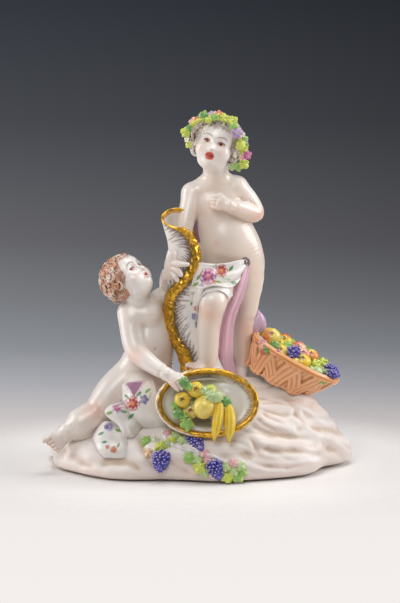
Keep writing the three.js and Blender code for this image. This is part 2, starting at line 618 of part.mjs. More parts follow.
/** The painted drapery of the standing child: over the hips, down beside the knee and behind. */
function standingDrapery() {
  const fade = (u) => Math.sin(Math.PI * Math.min(1, u * 0.9 + 0.1));
  const pleat = (count, deep) => (u, v) => deep * Math.sin(TURN * count * v + 2 * u) * fade(u);
  const overHips = [
    [[34, -3, 146], [35.5, -2, 142.5], [36, -2, 138]],
    [[27, -8.5, 146], [28, -11, 138], [29, -7, 130]],
    [[15, -7, 145], [16, -16, 137], [20, -20, 127]],
    [[4, -5, 143.5], [3, -16, 136], [4, -24, 125]],
    [[-3, 2, 141], [-7, -8, 130], [-4, -16, 118]],
  ];
  const besideKnee = [
    [[-6, -4, 134], [-2, -15, 131], [4, -24, 127]],
    [[-9, -8, 116], [-4, -16, 114], [1.5, -21, 112]],
    [[-8, -9, 98], [-4, -14, 97], [0.5, -16, 96]],
    [[-6, -10, 84], [-3, -13, 84], [1, -13.5, 84]],
  ];
  const lining = [
    [[36, -1.5, 144], [35.5, -3, 141], [34, -4, 139]],
    [[31, -2, 122], [25, -6, 123], [20, -7, 125]],
    [[27, 3, 100], [22, -3, 100], [16, -4, 102]],
    [[26, 6, 78], [20, 0, 78], [14, -2, 79]],
    [[25, 6, 60], [19, 0, 60], [13, -2, 60]],
  ];
  const behind = [
    [24, 22, 50, 23, 13], [24, 22, 72, 21, 12], [24, 22, 92, 19, 11], [21, 21, 116, 17, 10],
    [21, 17, 143, 17, 9],
  ];
  const pleats = (angle, t) => 0.1 * Math.cos(6 * angle + 3 * t) * (1 - 0.5 * t);
  return [
    sheet(overHips, { fold: pleat(2.2, 1.3), thick: 3, along: 7, across: 5 }),
    sheet(besideKnee, { fold: pleat(1.5, 1.0), thick: 3, along: 5, across: 3 }),
    sheet(lining, { fold: pleat(1.4, 1.0), thick: 3, along: 5, across: 3 }),
    trunk(behind, { sides: 12, steps: 5, relief: pleats }),
    ball([36, -3.5, 141.5], [3.6, 2.6, 3.6], { across: 6, down: 4 }),
    ball([42.5, 16, 97], [5.5, 8, 9], { across: 6, down: 4 }),
  ];
}

/** The painted drapery of the seated child: over the lap and down the front of the rock. */
function seatedDrapery() {
  const pleat = (count, deep) => (u, v) => deep * Math.sin(TURN * count * v + 2.5 * u);
  const lap = [
    [[-52, -15, 66], [-56, -21, 60], [-60, -27, 52], [-63, -33, 42]],
    [[-45, -19, 67], [-50, -28, 61], [-53, -34, 50], [-54, -40, 37]],
    [[-37, -22, 70], [-38, -34, 64], [-42, -42, 52], [-43, -44, 36]],
    [[-30, -24, 70], [-27, -40, 62], [-28, -46, 50], [-31, -45, 37]],
    [[-22, -27, 67], [-17, -38, 58], [-17, -42, 48], [-20, -42, 40]],
  ];
  const tail = [
    [[-72, -30, 33], [-63, -36, 34], [-52, -42, 32]],
    [[-75, -35, 27], [-65, -42, 29], [-53, -48, 28]],
    [[-71, -39, 18], [-62, -47, 20], [-50, -52, 20]],
    [[-62, -44, 11], [-55, -49, 13], [-46, -52, 13]],
  ];
  return [
    sheet(lap, { fold: pleat(1.6, 1.3), thick: 3.4, along: 6, across: 6 }),
    sheet(tail, { fold: pleat(1.5, 1.4), thick: 5, along: 5, across: 4 }),
  ];
}

const underside = new THREE.BoxGeometry(400, 400, 100);
underside.translate(0, 0, -50);

const clay = fuse([
  mound(), standingChild(), seatedChild(), horn(), hornFruit(), basket(), basketFruit(), wreath(), vine(),
  standingDrapery(), seatedDrapery(),
]).subtract(solid(underside));

// Pockets that close up inside the clay count as solid, as they do in a piece that is pressed together
const whole = clay.decompose().reduce((best, body) => (body.volume() > best.volume() ? body : best));
const made = whole.getMesh();
const porcelain = new THREE.BufferGeometry();
porcelain.setAttribute("position", new THREE.Float32BufferAttribute(made.vertProperties, 3));
porcelain.setIndex(Array.from(made.triVerts));
porcelain.computeVertexNormals();

const glaze = new THREE.MeshStandardMaterial({ color: 0xf1ece4, roughness: 0.15, metalness: 0 });
const group = new THREE.Group();
const figure = new THREE.Mesh(porcelain, glaze);
figure.name = "porcelain_group";
group.add(figure);

export default group;
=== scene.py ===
"""The looks of a porcelain figure group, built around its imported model.

Sizes are in millimetres in the model's own frame: +Z up, the viewer at -Y. A piece is scaled to metres
when it is finished. The larger forms are a sphere's own rings moved into place, and the children are
clay: balls and rolls that melt into each other.
"""

import logging
import math
from dataclasses import dataclass, field
from enum import Enum
from typing import Callable, ClassVar, Iterable, Sequence

import bmesh
import bpy
import numpy as np
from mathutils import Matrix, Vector


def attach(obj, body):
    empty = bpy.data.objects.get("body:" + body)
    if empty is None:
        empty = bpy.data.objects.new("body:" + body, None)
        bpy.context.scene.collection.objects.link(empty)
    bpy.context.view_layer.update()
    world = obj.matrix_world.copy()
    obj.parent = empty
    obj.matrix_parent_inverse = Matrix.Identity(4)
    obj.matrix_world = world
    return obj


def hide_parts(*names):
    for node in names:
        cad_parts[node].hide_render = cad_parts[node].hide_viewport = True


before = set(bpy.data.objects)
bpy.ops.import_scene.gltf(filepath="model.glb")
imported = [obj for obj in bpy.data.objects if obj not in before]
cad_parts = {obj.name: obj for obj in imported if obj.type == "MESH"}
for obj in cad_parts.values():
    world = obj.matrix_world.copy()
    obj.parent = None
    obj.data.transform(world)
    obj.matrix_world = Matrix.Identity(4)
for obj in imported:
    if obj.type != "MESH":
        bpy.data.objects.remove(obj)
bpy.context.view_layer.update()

log = logging.getLogger("porcelain")

MM = 0.001
TAU = 2 * math.pi
GOLDEN_ANGLE = 2.39996
NODE = "porcelain_group"
X = np.array([1.0, 0.0, 0.0])
Y = np.array([0.0, 1.0, 0.0])
Z = np.array([0.0, 0.0, 1.0])

Array = np.ndarray
Point = Sequence[float]
Table = tuple[tuple, ...]


def paint(red: int, green: int, blue: int) -> Array:
    """A paint given on a 0 to 255 scale, as linear light."""
    share = np.array([red, green, blue]) / 255
    return np.where(share <= 0.04045, share / 12.92, ((share + 0.055) / 1.055) ** 2.4)


class Paint(Enum):
    """The enamel colours on the group, which also give its painted shade and light."""

    GLAZE = (240, 234, 228)
    WHITE = (255, 253, 248)
    FLESH = (244, 200, 164)
    BLUSH = (236, 146, 104)
    LIPS = (206, 50, 12)
    MOUTH = (130, 18, 8)
    LID = (206, 104, 58)
    EYE = (84, 30, 12)
    BROW = (128, 74, 48)
    DARK_HAIR = (150, 98, 76)
    RED_HAIR = (190, 114, 50)
    STROKE = (70, 26, 18)
    GOLD = (240, 184, 58)
    WICKER = (252, 180, 112)
    WICKER_LINE = (206, 118, 62)
    WICKER_DEEP = (122, 66, 24)
    LEAF = (134, 184, 98)
    DEEP_LEAF = (66, 142, 80)
    YOUNG_LEAF = (204, 214, 92)
    PALE_LEAF = (188, 210, 160)
    GRAPE = (84, 78, 176)
    ROSE = (206, 84, 160)
    RED = (204, 50, 30)
    ORANGE = (232, 116, 52)
    PEACH = (240, 190, 160)
    LILAC = (178, 158, 214)
    BLUE = (66, 76, 170)
    YELLOW = (232, 204, 74)
    LEMON = (242, 216, 112)
    CORN = (246, 208, 62)
    PINK = (238, 172, 196)
    LINING = (232, 150, 190)
    MAUVE = (140, 60, 120)

    @property
    def light(self) -> Array:
        """The colour as linear light."""
        return paint(*self.value)


def unit(way: Point) -> Array:
    """A direction of length 1."""
    way = np.asarray(way, float)
    return way / np.linalg.norm(way)


def lengths(arms: Array) -> Array:
    """The length of each row."""
    return np.linalg.norm(arms, axis=1)


def rise(low: float, high: float, value: Array) -> Array:
    """A smooth step from 0 at low to 1 at high."""
    t = np.clip((value - low) / (high - low), 0, 1)
    return t * t * (3 - 2 * t)


def bell(value: Array, width: float) -> Array:
    """A smooth bump of height 1 round zero."""
    return np.exp(-((value / width) ** 2))


def ripple(points: Array, size: float, seed: int, waves: int = 9) -> Array:
    """Smooth random hills between about -1 and 1, as wide as size.

    Args:
        points: one place in each row.
        size: how wide the hills are.
        seed: which set of hills it is.
        waves: how many waves are added up.

    Returns:
        The height at each point.
    """
    draw = np.random.default_rng(seed)
    total = np.zeros(len(points))
    for _ in range(waves):
        way = unit(draw.normal(size=3)) * TAU / (size * draw.uniform(0.7, 1.7))
        total += np.sin(points @ way + draw.uniform(0, TAU))
    return total / math.sqrt(waves * 0.8)


def smooth_line(points: Sequence[Point], count: int) -> Array:
    """Places along a smooth line through the points.

    Args:
        points: what the line passes.
        count: how many places to give.

    Returns:
        The places, one in each row.
    """
    given = np.asarray(points, float)
    ends = np.vstack([2 * given[0] - given[1], given, 2 * given[-1] - given[-2]])
    t = np.linspace(0, len(given) - 1, count)
    i = np.minimum(t.astype(int), len(given) - 2)
    f = (t - i)[:, None]
    a, b, c, d = ends[i], ends[i + 1], ends[i + 2], ends[i + 3]
    return 0.5 * (2 * b + (c - a) * f + (2 * a - 5 * b + 4 * c - d) * f**2 + (3 * b - 3 * c + d - a) * f**3)


class Frame:
    """A place with its own right, ahead and top directions, such as a head's."""

    def __init__(self, origin: Point, forward: Point, up: Point) -> None:
        """Turns the frame so that it looks forward, with its top as near up as can be.

        Args:
            origin: its middle.
            forward: where it looks.
            up: roughly where its top points.
        """
        self.origin = np.asarray(origin, float)
        self.ahead = unit(forward)
        self.right = unit(np.cross(self.ahead, up))
        self.top = np.cross(self.right, self.ahead)
        self.axes = np.array([self.right, self.ahead, self.top])

    def place(self, local: Array) -> Array:
        """Points of this frame as points of the group."""
        return self.origin + np.asarray(local, float) @ self.axes

    def local(self, points: Array) -> Array:
        """Points of the group as points of this frame."""
        return (points - self.origin) @ self.axes.T


@dataclass(frozen=True)
class Viewpoint:
    """The camera: it looks along +Y and a little down."""

    aim: tuple[float, float, float] = (2.0, 0.0, 116.0)
    distance: float = 3000.0
    elevation: float = 12.0
    sight_height: float = 419.0
    picture: tuple[int, int] = (400, 603)
    film: float = 36.0

    @property
    def back(self) -> Array:
        """The way from the aim to the camera."""
        tilt = math.radians(self.elevation)
        return np.array([0, -math.cos(tilt), math.sin(tilt)])

    @property
    def up(self) -> Array:
        """The upward way in the picture."""
        tilt = math.radians(self.elevation)
        return np.array([0, math.sin(tilt), math.cos(tilt)])

    def pixels(self, points: Array) -> Array:
        """Where points of the group fall in the picture.

        Args:
            points: one place in each row.

        Returns:
            Across and down for each point.
        """
        arm = points - (np.array(self.aim) + self.back * self.distance)
        scale = self.picture[1] / self.sight_height * self.distance / -(arm @ self.back)
        across = self.picture[0] / 2 + arm[:, 0] * scale
        down = self.picture[1] / 2 - (arm @ self.up) * scale
        return np.stack([across, down], 1)

    @property
    def pixel(self) -> float:
        """The size of a pixel at the aim."""
        return self.sight_height / self.picture[1]

    def spot(self, across: float, down: float, depth: float) -> Array:
        """The point of the group that is seen at a pixel and has y = depth.

        Args:
            across: pixels from the left.
            down: pixels from the top.
            depth: the y that the point has.

        Returns:
            The point.
        """
        eye = np.array(self.aim) + self.back * self.distance
        right, high = (across - self.picture[0] / 2) * self.pixel, (self.picture[1] / 2 - down) * self.pixel
        way = X * right + self.up * high - self.back * self.distance
        return eye + way * ((depth - eye[1]) / way[1])

    def spots(self, line: Sequence[Point]) -> list[Array]:
        """The points seen at (across, down, depth)."""
        return [self.spot(*place) for place in line]

    def build(self) -> bpy.types.Object:
        """Makes the camera and the scene's view from it.

        Returns:
            The camera.
        """
        lens = self.film * self.distance / self.sight_height
        data = bpy.data.cameras.new("camera")
        data.sensor_width = self.film
        data.lens = lens
        data.clip_end = 20
        camera = bpy.data.objects.new("camera", data)
        camera.location = Vector((np.array(self.aim) + self.back * self.distance) * MM)
        camera.rotation_mode = "QUATERNION"
        camera.rotation_quaternion = Vector(-self.back).to_track_quat("-Z", "Y")
        bpy.context.scene.collection.objects.link(camera)
        bpy.context.scene.camera = camera
        return camera


VIEW = Viewpoint()


class Socket:
    """A shader value that Python's operators work on."""

    def __init__(self, shader: "Shader", output: bpy.types.NodeSocket) -> None:
        """Wraps an output socket of the shader."""
        self.shader = shader
        self.output = output

    def _math(self, operation: str, *values: "Socket | float") -> "Socket":
        """Adds a Math node on this value and others."""
        return self.shader.node("ShaderNodeMath", {"operation": operation}, dict(enumerate(values)))

    def __add__(self, other: "Socket | float") -> "Socket":
        """This value plus another."""
        return self._math("ADD", self, other)

    def __mul__(self, other: "Socket | float") -> "Socket":
        """This value times another."""
        return self._math("MULTIPLY", self, other)

    def __sub__(self, other: "Socket | float") -> "Socket":
        """This value less another."""
        return self._math("SUBTRACT", self, other)

    def __rsub__(self, other: float) -> "Socket":
        """Another value less this one."""
        return self._math("SUBTRACT", other, self)

    __radd__ = __add__
    __rmul__ = __mul__


class Shader:
    """The nodes of a material or a world, under construction."""

    def __init__(self, holder: bpy.types.Material | bpy.types.World) -> None:
        """Starts an empty node tree.

        Args:
            holder: the new material or world that it belongs to.
        """
        holder.use_nodes = True
        self.tree = holder.node_tree
        self.tree.nodes.clear()

    def node(self, kind: str, settings: dict, inputs: dict, output: int | str = 0) -> Socket:
        """Adds any node.

        Args:
            kind: the node's type.
            settings: its settings, such as a Math node's operation, or a ramp's stops.
            inputs: values or links for its sockets, by name or number.
            output: which of its outputs to return.

        Returns:
            The chosen output.
        """
        made = self.tree.nodes.new(kind)
        for key, value in settings.items():
            if key == "stops":
                self._ramp(made.color_ramp, value)
            else:
                setattr(made, key, value)
        for key, value in inputs.items():
            if isinstance(value, Socket):
                self.tree.links.new(value.output, made.inputs[key])
            else:
                made.inputs[key].default_value = value
        return Socket(self, made.outputs[output]) if made.outputs else None

    @staticmethod
    def _ramp(ramp: bpy.types.ColorRamp, stops: Sequence[tuple[float, Array]]) -> None:
        """Sets a ramp's stops."""
        while len(ramp.elements) < len(stops):
            ramp.elements.new(0.5)
        for element, (place, colour) in zip(ramp.elements, stops):
            element.position = place
            element.color = (*colour, 1)

    def mix(self, share: Socket | float, low: Socket | Sequence, high: Socket | Sequence) -> Socket:
        """Mixes two colours.

        Args:
            share: how much of the second there is.
            low: the first colour.
            high: the second colour.

        Returns:
            The mixed colour.
        """
        colours = [c if isinstance(c, Socket) else (*c, 1) for c in (low, high)]
        inputs = {0: share, 6: colours[0], 7: colours[1]}
        return self.node("ShaderNodeMix", {"data_type": "RGBA"}, inputs, 2)

    def scaled(self, colour: Socket | Sequence, share: Socket) -> Socket:
        """A colour times a share."""
        return self.node("ShaderNodeVectorMath", {"operation": "SCALE"}, {0: colour, "Scale": share})

    def spread(self, value: Socket, *limits: float) -> Socket:
        """A value mapped from its two limits to the next two, or to 0 and 1."""
        return self.node("ShaderNodeMapRange", {}, {0: value, **dict(enumerate(limits, 1))})

    def attribute(self, name: str, output: str) -> Socket:
        """What the mesh's attribute holds."""
        return self.node("ShaderNodeAttribute", {"attribute_name": name}, {}, output)

    def noise(self, scale: float, detail: float, where: Socket) -> Socket:
        """Cloudy noise from 0 to 1, with features one in scale metres wide."""
        inputs = {"Vector": where, "Scale": scale, "Detail": detail}
        return self.node("ShaderNodeTexNoise", {}, inputs, "Fac")

    def place(self) -> Socket:
        """The point's place in the object."""
        return self.node("ShaderNodeTexCoord", {}, {}, "Object")


@dataclass(frozen=True)
class GlazedPorcelain:
    """Clear glaze over white clay, with enamel colours, painted shade and light, and gold, all painted on a
    mesh's vertices.
    """

    name: str = "glazed_porcelain"
    glaze_roughness: float = 0.2
    gold_roughness: float = 0.26
    gold_metal: float = 0.72
    coat: float = 0.35
    # How far light strays in the clay, in metres
    depth: float = 0.0012
    # What the mattest clay adds to the glaze's roughness
    matt_roughness: float = 0.4

    def build(self) -> bpy.types.Material:
        """Makes the material.

        Returns:
            The material.
        """
        material = bpy.data.materials.new(self.name)
        shader = Shader(material)
        place = shader.place()
        colour, shine = (shader.attribute("paint", output) for output in ("Color", "Alpha"))
        gold = shader.attribute("gilding", "Fac")
        cloud, speck, brush = (shader.noise(*kind, place) for kind in ((45, 3), (900, 2), (420, 4)))
        toned = shader.scaled(colour, shader.spread(cloud, 0.3, 0.7, 0.965, 1.0))
        gilt = shader.scaled(Paint.GOLD.light.tolist(), shader.spread(brush, 0.32, 0.72, 0.45, 1.25))
        base = shader.mix(gold, toned, gilt)
        rough = gold * (self.gold_roughness - self.glaze_roughness) + cloud * 0.05 + self.glaze_roughness
        rough = rough + (1 - shine) * (1 - gold) * self.matt_roughness
        height = speck * 0.25 + cloud * 0.5 + brush * gold * 1.6
        bump = shader.node("ShaderNodeBump", {}, {"Strength": 0.12, "Distance": 0.0006, "Height": height})
        finish = {
            "Base Color": base,
            "Metallic": gold * self.gold_metal,
            "Roughness": rough,
            "Normal": bump,
            "IOR": 1.52,
            "Coat Weight": (1 - gold) * shine * self.coat,
            "Coat Roughness": 0.11,
            "Subsurface Weight": 0.15,
            "Subsurface Radius": (1.0, 0.75, 0.55),
            "Subsurface Scale": self.depth,
        }
        shader.node("ShaderNodeOutputMaterial", {}, {0: shader.node("ShaderNodeBsdfPrincipled", {}, finish)})
        return material


class Slot(Enum):
    """Names of material slots, passed to finish but not used there."""

    PORCELAIN = "porcelain"
    ENAMEL = "enamel"
    GILDING = "gilding"


@dataclass
class Surface:
    """A mesh in millimetres while it is shaped and painted."""

    name: str
    mesh: bpy.types.Mesh
    points: Array = field(init=False)
    colour: Array = field(init=False)
    gold: Array = field(init=False)
    matt: float = 0.2

    def __post_init__(self) -> None:
        """Reads the mesh's points, and glazes them white."""
        self.points = np.zeros((len(self.mesh.vertices), 3))
        self.mesh.vertices.foreach_get("co", self.points.ravel())
        self.colour = np.tile(Paint.GLAZE.light, (len(self.points), 1))
        self.gold = np.zeros(len(self.points))

    def store(self) -> None:
        """Writes the points to the mesh."""
        self.mesh.vertices.foreach_set("co", self.points.ravel())
        self.mesh.update()

    def turn_out(self) -> None:
        """Turns every face outwards."""
        self.store()
        bm = bmesh.new()
        bm.from_mesh(self.mesh)
        bmesh.ops.recalc_face_normals(bm, faces=bm.faces)
        bm.to_mesh(self.mesh)
        bm.free()

    def normals(self) -> Array:
        """The direction out of the surface at each point.

        Returns:
            A way of length 1 for each point.
        """
        self.store()
        found = np.zeros(len(self.points) * 3, np.float32)
        self.mesh.vertices.foreach_get("normal", found)
        return found.reshape(-1, 3).astype(float)

    def around(self, values: Array) -> Array:
        """The mean of a value over each point's neighbours.

        Args:
            values: one row for each point.

        Returns:
            The means, in the same shape.
        """
        pairs = np.zeros(len(self.mesh.edges) * 2, np.int32)
        self.mesh.edges.foreach_get("vertices", pairs)
        a, b = pairs.reshape(-1, 2).T
        count = len(self.points)
        near = np.bincount(a, minlength=count) + np.bincount(b, minlength=count)
        total = [
            np.bincount(a, values[b, k], count) + np.bincount(b, values[a, k], count)
            for k in range(values.shape[1])
        ]
        return np.stack(total, 1) / np.maximum(near, 1)[:, None]

    def smooth(self, times: int, share: float = 0.5) -> None:
        """Evens the surface out."""
        for _ in range(times):
            self.points += (self.around(self.points) - self.points) * share

    def push(self, amount: Array) -> None:
        """Moves each point out along its normal."""
        self.points += self.normals() * amount[:, None]

    def lay(self, mask: Array | float, colour: Paint | Array) -> None:
        """Lays paint over the glaze where the mask says."""
        tone = colour.light if isinstance(colour, Paint) else colour
        self.colour += (tone - self.colour) * np.reshape(np.clip(mask, 0, 1), (-1, 1))

    def gild(self, mask: Array) -> None:
        """Lays gold where the mask says."""
        self.gold = np.maximum(self.gold, np.clip(mask, 0, 1))

    def pool(self, strength: float = 1.0) -> None:
        """Darkens and warms the hollows, partly as pooled glaze and partly as painted shade.

        Args:
            strength: how much it darkens, with 1 as usual.
        """
        hollow = ((self.around(self.points) - self.points) * self.normals()).sum(1)
        for _ in range(3):
            hollow = self.around(hollow[:, None])[:, 0]
        deep = np.clip(hollow / 0.05, 0, 1) * 0.4 * strength
        # Painted shade with pooled glaze: the hollows get darker and warmer.
        self.colour *= 1 - deep[:, None] * np.array([0.5, 0.62, 0.8])

    def finish(self, slot: Slot = Slot.ENAMEL) -> bpy.types.Object:
        """Scales the mesh to metres and hands it over as a piece.

        Args:
            slot: not used.

        Returns:
            The finished piece.
        """
        self.points *= MM
        self.store()
        shine = np.full(len(self.colour), 1 - self.matt)
        tint = self.mesh.attributes.new("paint", "FLOAT_COLOR", "POINT")
        tint.data.foreach_set("color", np.column_stack([self.colour, shine]).ravel())
        gilding = self.mesh.attributes.new("gilding", "FLOAT", "POINT")
        gilding.data.foreach_set("value", self.gold.astype(np.float32))
        self.mesh.polygons.foreach_set("use_smooth", [True] * len(self.mesh.polygons))
        self.mesh.materials.clear()
        self.mesh.materials.append(bpy.data.materials[GlazedPorcelain.name])
        piece = bpy.data.objects.new(self.name, self.mesh)
        bpy.context.scene.collection.objects.link(piece)
        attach(piece, "root")
        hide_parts(NODE)
        faces = sum(len(p.vertices) - 2 for p in self.mesh.polygons)
        log.info("%s: %d triangles", self.name, faces)
        return piece


Shape = Callable[[Array, Array], Array]


def ringed(name: str, columns: int, rows: int, shape: Shape) -> tuple[Surface, Array, Array]:
    """A closed surface made of a sphere's rings, moved to where the shape puts them.

    Args:
        name: the piece's name.
        columns: how many points a ring has.
        rows: how many steps there are from pole to pole.
        shape: gives places from (along, around): 0 to 1 from pole to pole, and an angle.

    Returns:
        The surface, with each point's along and around.
    """
    bm = bmesh.new()
    ends = {"cap_ends": True, "cap_tris": True}
    bmesh.ops.create_cone(bm, segments=columns, radius1=1, radius2=1, depth=2, **ends)
    upright = [e for e in bm.edges if abs(e.verts[0].co.z - e.verts[1].co.z) > 1]
    bmesh.ops.subdivide_edges(bm, edges=upright, cuts=rows - 3)
    mesh = bpy.data.meshes.new(name)
    bm.to_mesh(mesh)
    bm.free()
    surface = Surface(name, mesh)
    x, y, z = surface.points.T
    along = np.where(np.hypot(x, y) < 0.5, (z > 0) * 1.0, (1 + (rows - 2) * (z + 1) / 2) / rows)
    around = np.arctan2(y, x) % TAU
    surface.points = np.ascontiguousarray(shape(along, around), dtype=float)
    surface.turn_out()
    return surface, along, around


class Gathering:
    """Closed forms gathered in one mesh."""

    forms: ClassVar[dict[tuple[int, int], bpy.types.Mesh]] = {}

    def __init__(self) -> None:
        """Starts an empty gathering."""
        self.bm = bmesh.new()
        self.places: list[Array] = []

    @classmethod
    def form(cls, columns: int, rows: int = 0) -> tuple[bpy.types.Mesh, Array]:
        """A unit ball with columns and rows, or an even one if there are no rows, with its points.

        Args:
            columns: a ball's columns, or how often an even one is divided.
            rows: the ball's rows.

        Returns:
            The mesh, and its points.
        """
        mesh = cls.forms.get((columns, rows))
        if mesh is None:
            bm = bmesh.new()
            if rows:
                bmesh.ops.create_uvsphere(bm, u_segments=columns, v_segments=rows, radius=1)
            else:
                bmesh.ops.create_icosphere(bm, subdivisions=columns, radius=1)
            mesh = cls.forms[columns, rows] = bpy.data.meshes.new("form")
            bm.to_mesh(mesh)
            bm.free()
        points = np.zeros(len(mesh.vertices) * 3, np.float32)
        mesh.vertices.foreach_get("co", points)
        return mesh, points.reshape(-1, 3).astype(float)

    def add(self, form: bpy.types.Mesh, places: Array) -> None:
        """Adds a form, with its points moved to these places."""
        self.bm.from_mesh(form)
        self.places.append(places)

    def surface(self, name: str) -> Surface:
        """The gathered forms as one surface.

        Args:
            name: the piece's name.

        Returns:
            The surface.
        """
        mesh = bpy.data.meshes.new(name)
        self.bm.to_mesh(mesh)
        self.bm.free()
        surface = Surface(name, mesh)
        surface.points = np.vstack(self.places)
        surface.turn_out()
        return surface


class Tag(Enum):
    """What a lump of clay stands for, where it is painted on its own."""

    SKIN = "skin"
    LIPS = "lips"
    CURL = "curl"
    CAP = "cap"


@dataclass(frozen=True)
class Ball:
    """An egg of clay."""

    centre: Point
    radii: Point
    turn: Frame | None = None
    melt: float = 2.0
    tag: Tag = Tag.SKIN

    def reach(self, points: Array) -> tuple[Array, Array]:
        """The distance from each point to the egg's surface, and the way out of it.

        Args:
            points: one place in each row.

        Returns:
            The distance, which is negative inside, and a way of length 1.
        """
        axes = self.turn.axes if self.turn else np.eye(3)
        radii = np.broadcast_to(np.asarray(self.radii, float), 3)
        arm = (points - np.asarray(self.centre, float)) @ axes.T
        share = np.sqrt(((arm / radii) ** 2).sum(1)) + 1e-9
        far = lengths(arm)
        way = arm / radii**2
        way /= np.linalg.norm(way, axis=1, keepdims=True) + 1e-12
        return far - far / share, way @ axes

    def room(self) -> tuple[Array, Array]:
        """The corners of a box round the egg.

        Returns:
            The lowest and the highest corner.
        """
        size = np.max(np.broadcast_to(np.asarray(self.radii, float), 3))
        centre = np.asarray(self.centre, float)
        return centre - size, centre + size

    def stations(self) -> list[tuple[Array, Array, Array]]:
        """Eggs that fill it, as centre, axes and radii."""
        axes = self.turn.axes if self.turn else np.eye(3)
        return [(np.asarray(self.centre, float), axes, np.broadcast_to(np.asarray(self.radii, float), 3))]


@dataclass(frozen=True)
class Roll:
    """A round-ended roll of clay along a smooth line, with half its width and depth at each place."""

    places: Sequence[Point]
    girths: Sequence[float | Sequence[float]]
    side: Point = (1.0, 0.0, 0.0)
    melt: float = 2.0
    tag: Tag = Tag.SKIN
    creases: Sequence[tuple[float, float, float]] = ()

    def line(self) -> tuple[Array, Array, Array, Array, Array]:
        """Stations along the roll: place, half sizes, ahead, wide and deep.

        Returns:
            One array for each of them.
        """
        count = 6 * (len(self.places) - 1) + 1
        place = smooth_line(self.places, count)
        pairs = [(g, g) if np.isscalar(g) else g for g in self.girths]
        step = np.linspace(0, 1, len(pairs))
        size = smooth_line(pairs, count) if len(pairs) == len(self.places) else np.stack(
            [np.interp(np.linspace(0, 1, count), step, [p[k] for p in pairs]) for k in (0, 1)], 1
        )
        ahead = np.gradient(place, axis=0)
        ahead /= np.linalg.norm(ahead, axis=1, keepdims=True)
        wide = np.asarray(self.side, float) - ahead * (ahead @ np.asarray(self.side, float))[:, None]
        wide /= np.linalg.norm(wide, axis=1, keepdims=True)
        return place, size, ahead, wide, np.cross(ahead, wide)

    def at(self, t: Array) -> list[Array]:
        """The middle, half sizes, ahead, wide and deep at shares of the line.

        Args:
            t: shares of the line.

        Returns:
            One array for each of them.
        """
        stations = self.line()
        last = len(stations[0]) - 1
        spot = np.clip(t, 0, 1) * last
        low = np.minimum(spot.astype(int), last - 1)
        f = (spot - low)[:, None]
        return [v[low] * (1 - f) + v[low + 1] * f for v in stations]

    def reach(self, points: Array) -> tuple[Array, Array]:
        """The distance from each point to the roll's surface, and the way out of it.

        Args:
            points: one place in each row.

        Returns:
            The distance, which is negative inside, and a way of length 1.
        """
        place, size, ahead, wide, deep = self.line()
        last = len(place) - 1
        square = (points**2).sum(1)[:, None] - 2 * points @ place.T + (place**2).sum(1)[None]
        near = square.argmin(1)
        gap = np.linalg.norm(place[1] - place[0]) if last else 1.0
        off = ((points - place[near]) * ahead[near]).sum(1) / gap
        spot = np.clip(near + np.clip(off, -0.6, 0.6), 0, last)
        centre, girth, a, w, d = self.at(spot / last)
        for where, bite, width in self.creases:
            girth = girth * (1 - bite * bell(spot / last - where, width))[:, None]
        radii = np.column_stack([girth, girth.min(1)])
        arm = points - centre
        arm = np.stack([(arm * w).sum(1), (arm * d).sum(1), (arm * a).sum(1)], 1)
        share = np.sqrt(((arm / radii) ** 2).sum(1)) + 1e-9
        far = lengths(arm)
        local = arm / radii**2
        way = w * local[:, :1] + d * local[:, 1:2] + a * local[:, 2:]
        way /= np.linalg.norm(way, axis=1, keepdims=True) + 1e-12
        return far - far / share, way

    def room(self) -> tuple[Array, Array]:
        """The corners of a box round the roll."""
        place, size = self.line()[:2]
        return place.min(0) - size.max(), place.max(0) + size.max()

    def stations(self) -> list[tuple[Array, Array, Array]]:
        """Eggs that fill it, as centre, axes and radii."""
        place, size, ahead, wide, deep = self.line()
        return [
            (place[k], np.array([wide[k], deep[k], ahead[k]]), np.array([*size[k], size[k].min()]))
            for k in range(len(place))
        ]


Lump = Ball | Roll


